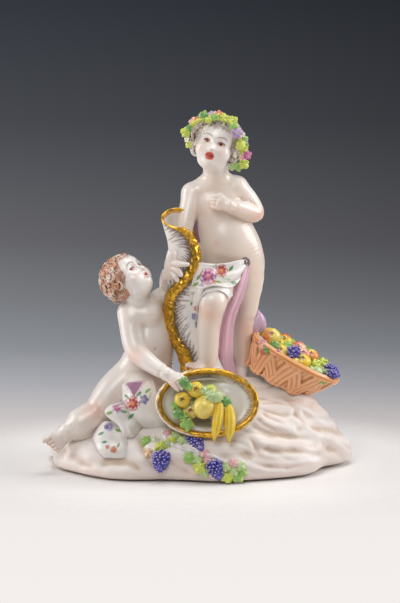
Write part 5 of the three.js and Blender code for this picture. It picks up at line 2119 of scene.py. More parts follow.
@dataclass
class Basket:
    """The woven basket, open at the top, with dents between its lower bands painted dark as shaded openings.
    """

    rim: Point = (68.7, 6, 74)
    tilt: float = 29.0
    length: float = 65.0
    width: float = 48.0
    depth: float = 20.0
    wall: float = 2.6
    bands: int = 9
    strands: int = 5

    @property
    def turned(self) -> Frame:
        """The basket's own directions: its length slopes down to the viewer's right."""
        tilt = math.radians(self.tilt)
        return Frame(self.rim, Y, (math.sin(tilt), 0, math.cos(tilt)))

    def shape(self, along: Array, around: Array) -> Array:
        """The rings from the middle of the base, up the outside, over the rim and down inside.

        Args:
            along: the share of the way from pole to pole.
            around: the angle round the ring.

        Returns:
            The place of each point.
        """
        d, w = self.depth, self.wall
        stops = [0, 0.1, 0.13, 0.62, 0.68, 0.72, 0.76, 0.95, 1]
        z = np.interp(along, stops, [-d, -d, -d + 0.8, -1.5, 0.8, 1.8, 0, -d + w, -d + w])
        up = np.clip((z + d) / d, 0, 1)
        share = 0.34 + 0.18 * up - 0.02 * up**2
        wall = np.interp(along, stops, [0, 0, 0, 0, -1.0, 0.6, w, w, w])
        girth = np.interp(along, stops, [0, 0.97, 1, 1, 1, 1, 1, 1, 0])
        x = (self.length * share - wall) * girth * np.cos(around) - 4 * (1 - up)
        y = (self.width * share - wall) * girth * np.sin(around)
        return self.turned.place(np.stack([x, y, z], 1))

    def build(self) -> None:
        """Makes the basket."""
        basket, along, around = ringed("basket", detail(350, 190), detail(150, 90), self.shape)
        z = self.turned.local(basket.points)[:, 2]
        up = np.clip((z + self.depth) / (self.depth + 1), 0, 1)
        outside = rise(0.1, 0.13, along) * rise(0.7, 0.66, along)
        turn = around * self.bands / TAU
        lean, back = turn + 0.9 * up, turn - 0.25 * up
        first, second = (np.abs((way % 1) - 0.5) * 2 for way in (lean, back))
        over = np.cos(math.pi * (lean + back)) * np.cos(TAU * 0.9 * up)
        on_first = np.where(first < 0.56, np.where(second < 0.56, over > 0, True), False)
        band = np.where(on_first, first, second)
        strand = np.abs(np.sin(math.pi * np.where(on_first, lean, back) * self.strands))
        body = rise(0.66, 0.56, band)
        relief = body * (0.8 + 0.5 * np.abs(over)) + strand * 0.35 * body
        hole = rise(0.58, 0.66, first) * rise(0.58, 0.66, second) * (chance(np.floor(lean), 5) > 0.45)
        gap = hole * rise(0.05, 0.12, up) * rise(0.78, 0.7, up)
        rope = rise(0.64, 0.66, along) * rise(0.76, 0.74, along)
        cords = np.abs(np.sin(math.pi * (along - 0.64) / 0.1 * 3)) ** 0.6
        foot = rise(0.14, 0.10, up) * outside
        plait = rope * (cords * 1.1 + 0.2)
        basket.push(outside * (relief * 1.1 - gap * 2.2) * (1 - rope) + plait + foot * 0.8)
        inside = rise(0.745, 0.76, along)
        basket.lay(outside * 0.85 + rope * 0.8 + inside * 0.7, Paint.WICKER)
        basket.lay(outside * (1 - rope) * (1 - strand) * 0.6, Paint.WICKER_LINE)
        basket.lay(outside * bell(band - 0.62, 0.06) * 0.35 * (1 - rope), Paint.WICKER_DEEP)
        # Painted shade: the dents between the lower bands are painted dark brown to read as openings into the
        # shaded inside.
        basket.lay(gap * outside * 0.9, Paint.WICKER_DEEP.light * 0.8)
        basket.lay(rope * (1 - cords) * 0.7, Paint.WICKER_LINE)
        basket.lay(inside * 0.75, Paint.WICKER_DEEP)
        basket.smooth(1, 0.25)
        basket.pool(1.4)
        basket.finish()


@dataclass
class Sprigs:
    """Leaves, flowers and fruit, gathered in one mesh."""

    name: str
    gathering: Gathering = field(default_factory=Gathering, init=False)
    colours: list[Array] = field(default_factory=list, init=False)

    def add(self, columns: int, rows: int, shape: Callable[[Array], tuple[Array, Array]]) -> None:
        """Adds a closed form: the shape gives places and colours from the points of a unit ball.

        Args:
            columns: the ball's columns.
            rows: the ball's rows, or 0 for an even one.
            shape: gives the places and the colours.
        """
        form, ball = Gathering.form(columns, rows)
        places, colours = shape(ball)
        self.gathering.add(form, places)
        self.colours.append(colours)

    def leaf(self, centre: Point, way: Point, face: Point, size: float, colour: Paint,
             curl: float = 0.5) -> None:
        """A lobed, cupped leaf with its tip along way.

        Args:
            centre: its middle.
            way: where its tip points.
            face: the way that it faces.
            size: its length.
            colour: its paint.
            curl: how far its edges droop.
        """
        f = Frame(centre, way, face)
        pale = colour.light + (Paint.YOUNG_LEAF.light - colour.light) * 0.55

        def shape(ball: Array) -> tuple[Array, Array]:
            """Turns the points of a unit ball into places with colours.

            Args:
                ball: the points.

            Returns:
                Their places and their colours.
            """
            a = np.arctan2(ball[:, 0], ball[:, 1])
            r = np.hypot(ball[:, 0], ball[:, 1])
            outline = 0.46 + 0.05 * np.cos(5 * a) + 0.09 * np.cos(a) + 0.03 * np.cos(9 * a + 3 * size)
            far = r * outline * size
            vein = bell((a / (TAU / 5) - np.round(a / (TAU / 5))) * r, 0.07)
            ruffle = 0.08 * size * np.sin(5 * a + 2 * size) * r**2
            z = ball[:, 2] * size * 0.09 + (vein - 0.4) * 0.35 - curl * (r**2) * size * 0.2 + ruffle
            tone = colour.light + (pale - colour.light) * np.clip(vein * 0.5 + 0.8 * r**3, 0, 1)[:, None]
            places = f.place(np.stack([far * np.sin(a), far * np.cos(a), z + 0.05 * size], 1))
            return places, tone

        self.add(detail(36, 24), detail(10, 8), shape)

    def flower(self, centre: Point, face: Point, size: float, colour: Paint, heart: Paint = Paint.YELLOW,
               rim: Paint = Paint.GLAZE) -> None:
        """An open flower with five cupped petals.

        Args:
            centre: its middle.
            face: the way that it faces.
            size: its half width.
            colour: its paint.
            heart: the paint of its middle.
            rim: the paint of its petals' edges.
        """
        f = Frame(centre, np.cross(face, X if abs(unit(face)[0]) < 0.9 else Z), face)

        def shape(ball: Array) -> tuple[Array, Array]:
            """Turns the points of a unit ball into places with colours.

            Args:
                ball: the points.

            Returns:
                Their places and their colours.
            """
            a = np.arctan2(ball[:, 0], ball[:, 1])
            r = np.hypot(ball[:, 0], ball[:, 1])
            petal = np.abs(np.cos(2.5 * a)) ** 0.6
            far = r * size * (0.66 + 0.34 * petal)
            middle = bell(r, 0.3)
            z = ball[:, 2] * size * 0.17 + size * (0.32 * r**2 - 0.12 * r**6 * petal) + middle * size * 0.2
            z = z - (1 - petal) * r * size * 0.14
            tone = colour.light + (rim.light - colour.light) * (rise(0.75, 1.0, r) * 0.6)[:, None]
            tone = tone * (1 - 0.35 * ((1 - petal) * rise(0.2, 0.5, r))[:, None])
            tone = tone + (heart.light - tone) * rise(0.4, 0.22, r)[:, None]
            return f.place(np.stack([far * np.sin(a), far * np.cos(a), z], 1)), tone

        self.add(detail(36, 30), detail(12, 10), shape)

    def rose(self, centre: Point, face: Point, size: float, colour: Paint) -> None:
        """A full rose: three rows of petals, one inside the other.

        Args:
            centre: its middle.
            face: the way that it faces.
            size: its half width.
            colour: its paint.
        """
        out = unit(face)
        pale = Paint.PINK
        self.flower(centre, face, size, colour, colour, pale)
        middle = np.asarray(centre)
        self.flower(middle + out * size * 0.22, unit(out + 0.12 * X), size * 0.74, colour, colour, pale)
        self.flower(middle + out * size * 0.42, unit(out - 0.1 * X), size * 0.48, colour, Paint.YELLOW)

    def fruit(self, centre: Point, radius: float, colour: Paint, cheek: Paint, top: Point,
              squash: float = 0.94) -> None:
        """A round fruit with a dimple and a dark star at its top.

        Args:
            centre: its middle.
            radius: its half width.
            colour: its paint.
            cheek: the paint of its riper side.
            top: the way of its dimple.
            squash: its height as a share of its width.
        """
        f = Frame(centre, np.cross(top, X if abs(unit(top)[0]) < 0.9 else Y), top)
        seed = float(np.sum(np.asarray(centre)))

        def shape(ball: Array) -> tuple[Array, Array]:
            """Turns the points of a unit ball into places with colours.

            Args:
                ball: the points.

            Returns:
                Their places and their colours.
            """
            off = np.arccos(np.clip(ball[:, 2], -1, 1))
            a = np.arctan2(ball[:, 1], ball[:, 0])
            r = 1 - 0.16 * bell(off, 0.28) + 0.018 * np.cos(5 * a) * np.sin(off)
            places = f.place(ball * (r * radius)[:, None] * [1, 1, squash])
            side = ball @ unit([math.sin(seed), math.cos(seed), 0.4])
            tone = colour.light + (cheek.light - colour.light) * (rise(0.1, 0.95, side) * 0.75)[:, None]
            star = rise(0.34, 0.22, off / (0.7 + 0.5 * np.abs(np.cos(2.5 * a))))
            return places, tone + (Paint.WICKER_DEEP.light - tone) * (star * 0.9)[:, None]

        self.add(detail(40, 24), detail(24, 14), shape)

    def grapes(self, start: Point, end: Point, wide: float, facing: Point, seed: int) -> None:
        """A bunch of grapes on a tapering core.

        Args:
            start: the end by the stem.
            end: the tip.
            wide: its half width.
            facing: the way that it faces.
            seed: which set of grapes it has.
        """
        draw = np.random.default_rng(seed)
        start, end = np.asarray(start, float), np.asarray(end, float)
        long = np.linalg.norm(end - start)
        f = Frame((start + end) / 2, end - start, facing)
        size = 1.05

        def core(ball: Array) -> tuple[Array, Array]:
            """Turns the points of a unit ball into places with colours.

            Args:
                ball: the points.

            Returns:
                Their places and their colours.
            """
            taper = 1 - 0.3 * ball[:, 1]
            radii = [wide * 0.8, long * 0.55, wide * 0.6]
            places = f.place(ball * radii * np.stack([taper, taper * 0 + 1, taper], 1))
            return places, np.tile(Paint.GRAPE.light * 0.8, (len(ball), 1))

        self.add(16, 12, core)
        count = int(1.3 * wide * long / size**2)
        for k in range(count):
            t = (k + 0.5) / count
            along = -1 + 2 * t
            a = k * GOLDEN_ANGLE
            fullness = math.sqrt(max(0.0, 1 - abs(along) ** 2.4)) * (1 - 0.45 * along)
            x = math.sin(a) * wide * 0.88 * fullness
            z = math.cos(a) * wide * 0.68 * fullness
            spot = f.place([x, along * long * 0.56, z]) + draw.normal(size=3) * 0.32
            tone = Paint.GRAPE.light * draw.uniform(0.7, 1.25)
            if draw.uniform() < 0.12:
                tone = tone + (Paint.LILAC.light - tone) * 0.4
            grape = size * draw.uniform(0.9, 1.12)

            def berry(ball: Array, spot: Array = spot, tone: Array = tone,
                      grape: float = grape) -> tuple[Array, Array]:
                """The places and colours of a grape, with a painted highlight."""
                # Painted highlight: a pale spot on the side of each grape that faces up, left and to the
                # front.
                painted_glint = rise(0.76, 0.98, ball @ unit([-0.35, -0.7, 0.62]))[:, None] * 0.6
                return spot + ball * grape, tone + (Paint.GLAZE.light - tone) * painted_glint

            self.add(detail(2, 1), 0, berry)

    def ear(self, places: Sequence[Point], girth: float, colour: Paint) -> None:
        """An ear of corn, with rows of kernels.

        Args:
            places: what its middle line passes.
            girth: its half width.
            colour: its paint.
        """
        roll = Roll(places, [girth * 0.66, girth, girth * 0.6])

        def shape(ball: Array) -> tuple[Array, Array]:
            """Turns the points of a unit ball into places with colours.

            Args:
                ball: the points.

            Returns:
                Their places and their colours.
            """
            t = np.round(1 - np.arccos(np.clip(ball[:, 2], -1, 1)) / math.pi, 6)
            a = np.arctan2(ball[:, 1], ball[:, 0])
            centre, size, ahead, wide, deep = roll.at(1 - t)
            row = 9 * a / TAU
            kernel = np.abs(np.sin(math.pi * row)) * np.abs(np.sin(math.pi * (t * 20 + 0.5 * np.floor(row))))
            share = np.sqrt(np.clip(np.minimum(t / 0.2, (1 - t) / 0.12), 0, 1))
            size = (size[:, :1] + 0.6 * kernel[:, None] ** 0.5 - 0.2) * share[:, None]
            end = (np.clip(0.05 - t, 0, 1) - np.clip(t - 0.95, 0, 1)) * 20
            places = centre + ahead * end[:, None] + wide * size * np.cos(a)[:, None]
            # Painted shade and light: darker in the grooves between kernels, lighter on their tops.
            tone = colour.light * (0.62 + 0.6 * kernel[:, None] ** 0.6)
            return places + deep * size * np.sin(a)[:, None], tone

        self.add(detail(54, 36), detail(84, 44), shape)

    def twig(self, places: Sequence[Point], girth: float, colour: Paint) -> None:
        """A knotty stem.

        Args:
            places: what it passes.
            girth: its half width.
            colour: its paint.
        """
        roll = Roll(places, [girth] * len(places))

        def shape(ball: Array) -> tuple[Array, Array]:
            """Turns the points of a unit ball into places with colours.

            Args:
                ball: the points.

            Returns:
                Their places and their colours.
            """
            t = np.round(1 - np.arccos(np.clip(ball[:, 2], -1, 1)) / math.pi, 6)
            a = np.arctan2(ball[:, 1], ball[:, 0])
            centre, size, ahead, wide, deep = roll.at(1 - t)
            knots = 1 + 0.25 * np.sin(t * 60) * np.sin(2 * a)
            share = np.sqrt(np.clip(np.minimum(t, 1 - t) / 0.03, 0, 1)) * knots
            size = size[:, :1] * share[:, None]
            places = centre + wide * size * np.cos(a)[:, None] + deep * size * np.sin(a)[:, None]
            return places, colour.light * (0.94 + 0.1 * np.sin(t * 60)[:, None])

        self.add(12, detail(120, 60), shape)

    def heap(self, place: Callable[[Array], Array], colour: Paint, shade: float) -> None:
        """Adds a lump under the fruit, painted as shade in a darker copy of a colour, its ball's points put
        in place.
        """
        self.add(32, 20, lambda ball: (place(ball), np.tile(colour.light * shade, (len(ball), 1))))

    def grow(self) -> None:
        """Adds what the piece bears."""

    def build(self) -> None:
        """Makes the piece."""
        self.grow()
        surface = self.gathering.surface(self.name)
        surface.colour = np.vstack(self.colours)
        surface.pool(0.6)
        surface.finish()


class Growth(Enum):
    """What a wreath bears."""

    LEAF = "leaf"
    FLOWER = "flower"
    ROSE = "rose"


BLADE, BLOOM, FULL_ROSE = Growth


@dataclass
class Wreath(Sprigs):
    """The wreath of leaves and flowers over the standing child's head."""

    name: str = field(default="wreath", init=False)
    child: Child
    # Kind, pixel, depth, size in millimetres, paint and the way that it grows, across and up
    front: Table = (
        (BLADE, (186.4, 132.5), 2, 7.5, Paint.YOUNG_LEAF, (-0.8, 0.3)),
        (BLADE, (189.5, 129), 0, 6, Paint.DEEP_LEAF, (0, 1)),
        (BLOOM, (187, 139.5), 2, 2.2, Paint.GLAZE, (-1, 0)),
        (BLADE, (189, 144), 4, 5.5, Paint.YOUNG_LEAF, (-0.6, -0.8)),
        (BLOOM, (194, 122.5), 2, 3.9, Paint.PEACH, (-0.7, 0.7)),
        (BLOOM, (197.5, 120), 1, 2.6, Paint.ORANGE, (0, 1)),
        (BLADE, (203.5, 117.5), 0, 8.5, Paint.DEEP_LEAF, (0.2, 1)),
        (BLADE, (208, 119.5), -2, 6, Paint.YOUNG_LEAF, (1, 0.1)),
        (BLOOM, (211.4, 114.5), 1, 2.6, Paint.LILAC, (0, 1)),
        (BLADE, (214.5, 117.5), -2, 6, Paint.LEAF, (0.6, 0.5)),
        (BLOOM, (219, 114.3), 1, 2.9, Paint.ORANGE, (0.2, 1)),
        (BLOOM, (215, 114), 3, 2.2, Paint.PINK, (0, 1)),
        (BLADE, (223, 117.5), -1, 6.5, Paint.YOUNG_LEAF, (1, 0.3)),
        (BLOOM, (225.5, 117.5), 0, 2.2, Paint.PEACH, (0.3, 1)),
        (BLADE, (231.3, 122), 1, 8.5, Paint.YOUNG_LEAF, (0.8, 0.6)),
        (BLADE, (233, 126.5), -4, 6, Paint.LEAF, (1, 0)),
        (FULL_ROSE, (236.8, 133), -4, 4.3, Paint.LILAC, (0.9, 0.4)),
        (BLOOM, (242, 134.5), -1, 2.4, Paint.GLAZE, (1, 0.3)),
        (BLADE, (242.5, 139), 0, 6.5, Paint.LEAF, (0.9, 0.2)),
        (BLADE, (240.5, 144), -2, 8.5, Paint.YOUNG_LEAF, (0.4, -1)),
        (BLADE, (243, 150), 0, 7.5, Paint.YOUNG_LEAF, (0.8, -0.6)),
        (FULL_ROSE, (247, 155), 0, 3.6, Paint.ROSE, (1, -0.1)),
        (BLOOM, (242.5, 156.5), -1, 2.8, Paint.PINK, (0.2, -0.4)),
        (BLADE, (243.5, 163.5), 2, 7.5, Paint.YOUNG_LEAF, (0.7, -0.8)),
        (BLADE, (238.5, 166), 3, 7, Paint.LEAF, (0.1, -1)),
        (BLADE, (232.5, 167), 4, 6.5, Paint.PALE_LEAF, (-0.8, -0.4)),
    )
    # Round the back of the head: kind, place in shares of the head's height, size and paint
    behind: Table = (
        (BLADE, (-0.52, -0.16, 0.1), 8, Paint.LEAF), (BLOOM, (-0.5, -0.32, 0.14), 3.8, Paint.PINK),
        (BLADE, (-0.4, -0.44, 0.16), 8.5, Paint.DEEP_LEAF), (BLOOM, (-0.24, -0.54, 0.15), 4.2, Paint.LILAC),
        (BLADE, (-0.08, -0.58, 0.12), 8.5, Paint.YOUNG_LEAF),
        (FULL_ROSE, (0.08, -0.58, 0.06), 4.4, Paint.ROSE), (BLADE, (0.22, -0.54, 0.0), 8.5, Paint.LEAF),
        (BLOOM, (0.34, -0.47, -0.08), 4.0, Paint.PEACH), (BLADE, (0.44, -0.36, -0.16), 8, Paint.DEEP_LEAF),
        (BLOOM, (0.5, -0.22, -0.22), 3.8, Paint.GLAZE),
    )
    stem: Table = (
        (187, 141, 4), (190, 128, 1), (201, 119.5, 0), (214, 117.5, 0), (228, 121, 0), (237, 132, -2.5),
        (241.5, 147, -0.5), (241, 163, 2.5),
    )

    def put(self, kind: Growth, place: Array, out: Array, way: Array, size: float, colour: Paint) -> None:
        """Adds a leaf, flower or rose that faces out."""
        if kind is Growth.LEAF:
            self.leaf(place, way, out, size, colour, 0.35)
        else:
            (self.rose if kind is Growth.ROSE else self.flower)(place, out, size, colour)

    def grow(self) -> None:
        """Adds the leaves, flowers and stems."""
        middle = self.child.on_head(0, -0.1, 0)
        for kind, (across, down), depth, size, colour, (right, high) in self.front:
            place = VIEW.spot(across, down, depth)
            self.put(kind, place, unit(unit(place - middle) - 0.9 * Y), X * right + Z * high, size, colour)
        ring = [self.child.on_head(*spot) for _, spot, *_ in self.behind]
        for place, (kind, _, size, colour) in zip(ring, self.behind):
            self.put(kind, place, unit(place - middle), self.child.face.right, size, colour)
        self.twig(VIEW.spots(self.stem), 1.5, Paint.YOUNG_LEAF)
        self.twig(ring, 1.5, Paint.LEAF)


@dataclass
class HornFruit(Sprigs):
    """The fruit, leaves and corn in the mouth of the horn."""

    name: str = field(default="horn_fruit", init=False)
    # Pixel with a depth, radius, paint and cheek; the large one shows no star
    fruits: Table = (
        (196, 389.6, -45, 5.6, Paint.YELLOW, Paint.CORN), (182.3, 400, -45, 5.7, Paint.YELLOW, Paint.CORN),
        (205, 407, -47, 8.8, Paint.LEMON, Paint.CORN), (190.5, 411, -43, 5.6, Paint.LEMON, Paint.PALE_LEAF),
        (210.5, 391, -42, 4.6, Paint.YOUNG_LEAF, Paint.LEMON),
    )
    large: float = 8.0
    # Pixel with a depth, the tip's way, size and paint
    leaves: Table = (
        (183.5, 383.5, -49, (0.4, 0, 1), 8.5, Paint.DEEP_LEAF),
        (188, 386.5, -49, (1, 0, 0.2), 6.5, Paint.LEAF),
        (210, 395.5, -52, (1, 0, 0.1), 9.5, Paint.PALE_LEAF),
        (216.5, 396.5, -52, (1, 0, -0.4), 8.5, Paint.PALE_LEAF),
        (205.5, 391.5, -50, (-0.6, 0, 1), 7, Paint.PALE_LEAF),
        (225, 401, -50, (1, 0, -0.2), 8, Paint.DEEP_LEAF),
        (178.5, 413, -50, (-0.6, 0, -0.8), 8.5, Paint.DEEP_LEAF),
        (184, 417, -50, (0.5, 0, -1), 7.5, Paint.LEAF), (187, 423.5, -51.5, (0.1, 0, -1), 10, Paint.LEAF),
        (176, 405.5, -48, (-1, 0, 0.3), 6.5, Paint.LEAF),
    )
    # Pixels with a depth along each ear of corn, and its half width
    ears: Table = (
        (((219.5, 400, -49), (218, 419, -54), (214, 440, -57)), 3.5),
        (((228.5, 404, -48.5), (230, 421, -53), (229, 441, -56)), 3.8),
    )

    def grow(self) -> None:
        """Adds the fruit, leaves and corn."""
        # Painted shade: the heap behind the fruit is pale green at 0.6 strength.
        self.heap(lambda ball: np.array([-4, -38, 50]) + ball * [13, 7, 8], Paint.PALE_LEAF, 0.6)
        for across, down, depth, radius, colour, cheek in self.fruits:
            top = (0, -0.95, 0.3) if radius < self.large else (0.5, -0.2, -0.8)
            self.fruit(VIEW.spot(across, down, depth), radius, colour, cheek, top)
        for across, down, depth, way, size, colour in self.leaves:
            self.leaf(VIEW.spot(across, down, depth), way, (0.1 * across - 20, -9, 3), size, colour)
        for path, girth in self.ears:
            self.ear(VIEW.spots(path), girth, Paint.CORN)


@dataclass
class BasketFruit(Sprigs):
    """The heap of fruit, grapes, leaves and blossom in the basket."""

    name: str = field(default="basket_fruit", init=False)
    basket: Basket
    up: Point = (-0.1, -0.75, 0.7)
    # The fruit right of this pixel stands more upright
    upright_from: float = 300.0
    # Pixel with a depth, radius, paint and cheek
    fruits: Table = (
        (272, 337, 0, 6.2, Paint.LEMON, Paint.RED), (281, 352, -8, 5.4, Paint.LEMON, Paint.YELLOW),
        (302.3, 362.3, -7, 6.2, Paint.YELLOW, Paint.CORN), (265, 349, -9, 4.6, Paint.PEACH, Paint.RED),
        (292, 361, -11, 4.8, Paint.LEMON, Paint.ORANGE), (284, 342, 12, 6, Paint.YELLOW, Paint.RED),
        (298, 350, 14, 6.2, Paint.PEACH, Paint.RED), (311, 357, 12, 5.6, Paint.LEMON, Paint.ORANGE),
        (317, 372, -5, 5.2, Paint.LEMON, Paint.PALE_LEAF), (268, 336, 16, 6, Paint.YELLOW, Paint.RED),
        (290, 352, 2, 6, Paint.LEMON, Paint.ORANGE), (303, 356, 3, 5.6, Paint.PEACH, Paint.RED),
        (279, 345, 2, 5, Paint.YELLOW, Paint.RED),
    )
    # Pixel with a depth, the tip's way, size and paint
    leaves: Table = (
        (273, 346, -10, (1, -0.3, 0.6), 8.5, Paint.DEEP_LEAF),
        (268.5, 350, -13, (-1, 0, 0.5), 6.5, Paint.DEEP_LEAF), (286, 346, -2, (1, 0, 0.4), 8, Paint.LEAF),
        (315, 364, -8, (1, 0, 0.5), 8, Paint.YOUNG_LEAF), (322, 362, 2, (1, 0, 0.2), 7.5, Paint.YOUNG_LEAF),
        (316.5, 371.5, -12, (0.6, 0, -1), 9, Paint.PALE_LEAF),
        (311.5, 370.5, -13, (-0.6, 0, -1), 7.5, Paint.PALE_LEAF),
        (322.5, 379, -11, (0.5, 0, -1), 7.5, Paint.LEAF), (325, 372, -8, (0, 0, -1), 7, Paint.PALE_LEAF),
        (287, 360, -14, (0.6, 0, -1), 6, Paint.LEAF), (277, 340, 8, (1, 0.2, 0.6), 8, Paint.LEAF),
        (306, 350, 18, (1, 0.6, 0.2), 9, Paint.DEEP_LEAF), (290, 342, 20, (0.2, 1, 0.4), 9, Paint.LEAF),
        (322, 362, 14, (1, 0.6, 0), 8, Paint.DEEP_LEAF),
    )
    # Pixel with a depth, the way it faces, size and paint
    flowers: Table = (
        (262.7, 343.5, -8, (-0.2, -0.95, 0.3), 3.4, Paint.PINK),
        (277.6, 353.5, -15, (0.1, -0.95, 0.3), 2.7, Paint.ROSE),
        (259.5, 339, -2, (-0.4, -0.9, 0.4), 2.6, Paint.GLAZE),
    )
    # Both ends as pixels with a depth, half width, the way they face and the seed of the bunch
    bunches: Table = (
        ((295.5, 347.5, -9), (292, 358, -13), 4.3, (0.2, -0.8, 0.6), 3),
        ((325.5, 368, -4), (337.5, 375.5, -6), 4.9, (0.3, -0.6, 0.7), 4),
    )

    def grow(self) -> None:
        """Adds the fruit, leaves, blossom and grapes."""
        turned = self.basket.turned
        # Painted shade: the heap under the fruit is leaf green at 0.75 strength.
        self.heap(lambda ball: turned.place(ball * [30, 19.5, 11] + [-2, 0.5, -7]), Paint.LEAF, 0.75)
        for across, down, depth, radius, colour, cheek in self.fruits:
            top = (0, -0.8, 0.9) if across > self.upright_from else self.up
            self.fruit(VIEW.spot(across, down, depth), radius, colour, cheek, top)
        for across, down, depth, way, size, colour in self.leaves:
            self.leaf(VIEW.spot(across, down, depth), way, self.up, size, colour)
        for across, down, depth, face, size, colour in self.flowers:
            self.flower(VIEW.spot(across, down, depth), face, size, colour)
        for start, end, wide, face, seed in self.bunches:
            self.grapes(VIEW.spot(*start), VIEW.spot(*end), wide, face, seed)


@dataclass
class Vine(Sprigs):
    """The vine on the front of the mound. Its places are pixels."""

    name: str = field(default="vine", init=False)
    rock: Mound
    out: Point = (0, -0.85, 0.5)
    stem: Table = (
        (162, 430), (165, 438), (174, 445.5), (186, 449.5), (199, 452), (211, 456), (223, 461), (240, 467),
    )
    # Both ends and half the width
    bunches: Table = (
        ((161.5, 452), (159.5, 470), 5.8), ((188.5, 431), (201, 448), 4.6), ((212, 462), (219.5, 478), 5.2),
    )
    first_seed: int = 20
    # Place, lean to the right, size and paint
    leaves: Table = (
        (148, 441, -0.8, 9.5, Paint.LEAF), (149, 452, -0.4, 7, Paint.PEACH),
        (160.5, 446, 0.2, 9.5, Paint.YOUNG_LEAF), (166.5, 444, 0.9, 7, Paint.PALE_LEAF),
        (168, 433, -0.5, 7.5, Paint.PINK), (172, 427.5, 0.4, 7, Paint.GLAZE),
        (177.5, 435, 0.2, 11, Paint.PALE_LEAF), (172.5, 440, -0.3, 7.5, Paint.YOUNG_LEAF),
        (183, 430, 0.5, 7, Paint.PALE_LEAF), (190, 457, -0.9, 9, Paint.LEAF),
        (200, 466, -0.3, 10, Paint.YOUNG_LEAF), (204, 452.5, 0.5, 7.5, Paint.PINK),
        (197, 459, 0.1, 7.5, Paint.PALE_LEAF), (207, 459, 0.9, 7, Paint.PINK),
        (232.5, 462, 0.7, 8, Paint.PINK), (239.5, 465.5, 0.9, 7.5, Paint.PALE_LEAF),
        (226.8, 475.5, 0.2, 9.5, Paint.YOUNG_LEAF), (237, 475, 0.6, 10, Paint.LEAF),
        (226, 466, -0.2, 7, Paint.PALE_LEAF), (241.5, 471, 0.9, 7.5, Paint.LEAF),
        (154, 439.5, 0.3, 7, Paint.GLAZE), (204, 471, 0.3, 8, Paint.PALE_LEAF),
        (233, 470, 0.4, 8, Paint.PALE_LEAF), (182, 440, 0.8, 8, Paint.PALE_LEAF),
    )

    def grow(self) -> None:
        """Adds the stem, bunches and leaves."""
        self.twig([self.rock.seen(*place, 0.2) for place in self.stem], 1.3, Paint.GLAZE)
        for number, (start, end, wide) in enumerate(self.bunches, self.first_seed):
            self.grapes(self.rock.seen(*start, 1.2), self.rock.seen(*end, 1.6), wide, self.out, number)
        for across, down, lean, size, colour in self.leaves:
            self.leaf(self.rock.seen(across, down, 1.4), (lean, -0.3, -0.6), self.out, size, colour, 0.5)


@dataclass(frozen=True)
class Bundle:
    """A gathered lump of cloth."""

    name: str
    centre: Point
    radii: Point
    turns: int
    # Paints, with how far they cover it everywhere and how much further on the crests
    coats: tuple[tuple[Paint, float, float], ...]
    motifs: tuple[Painted, ...] = ()

    def crest(self, along: Array, around: Array) -> Array:
        """The gathers, from -1 in the valleys to 1 on the crests."""
        return np.sin(self.turns * around + 5 * along)

    def shape(self, along: Array, around: Array) -> Array:
        """The rings from pole to pole.

        Args:
            along: the share of the way from pole to pole.
            around: the angle round the ring.

        Returns:
            The place of each point.
        """
        polar = (1 - along) * math.pi
        way = np.stack([np.sin(polar) * np.cos(around), np.sin(polar) * np.sin(around), np.cos(polar)], 1)
        return np.array(self.centre) + way * self.radii * (1 + 0.09 * self.crest(along, around))[:, None]

    def build(self) -> None:
        """Makes the lump."""
        lump, along, around = ringed(self.name, 60, 40, self.shape)
        lump.pool(1.4)
        high = 0.5 + 0.5 * self.crest(along, around)
        for colour, cover, further in self.coats:
            lump.lay(cover + further * high, colour)
        decorate(lump, self.motifs)
        lump.finish()


KNOT = Bundle(
    "knot", tuple(VIEW.spot(245.5, 262, -4)), (3.3, 2.8, 3.3), 5, ((Paint.STROKE, 0.9, -0.4),),
    (Painted(DOTS, (245, 261.5), 3.4, Paint.STROKE),),
)
LUMP = Bundle(
    "cloth_lump", (41, 16, 97), (7, 8, 9.5), 3, ((Paint.LINING, 0.35, 0.25), (Paint.LILAC, 0.35, 0.0)),
)


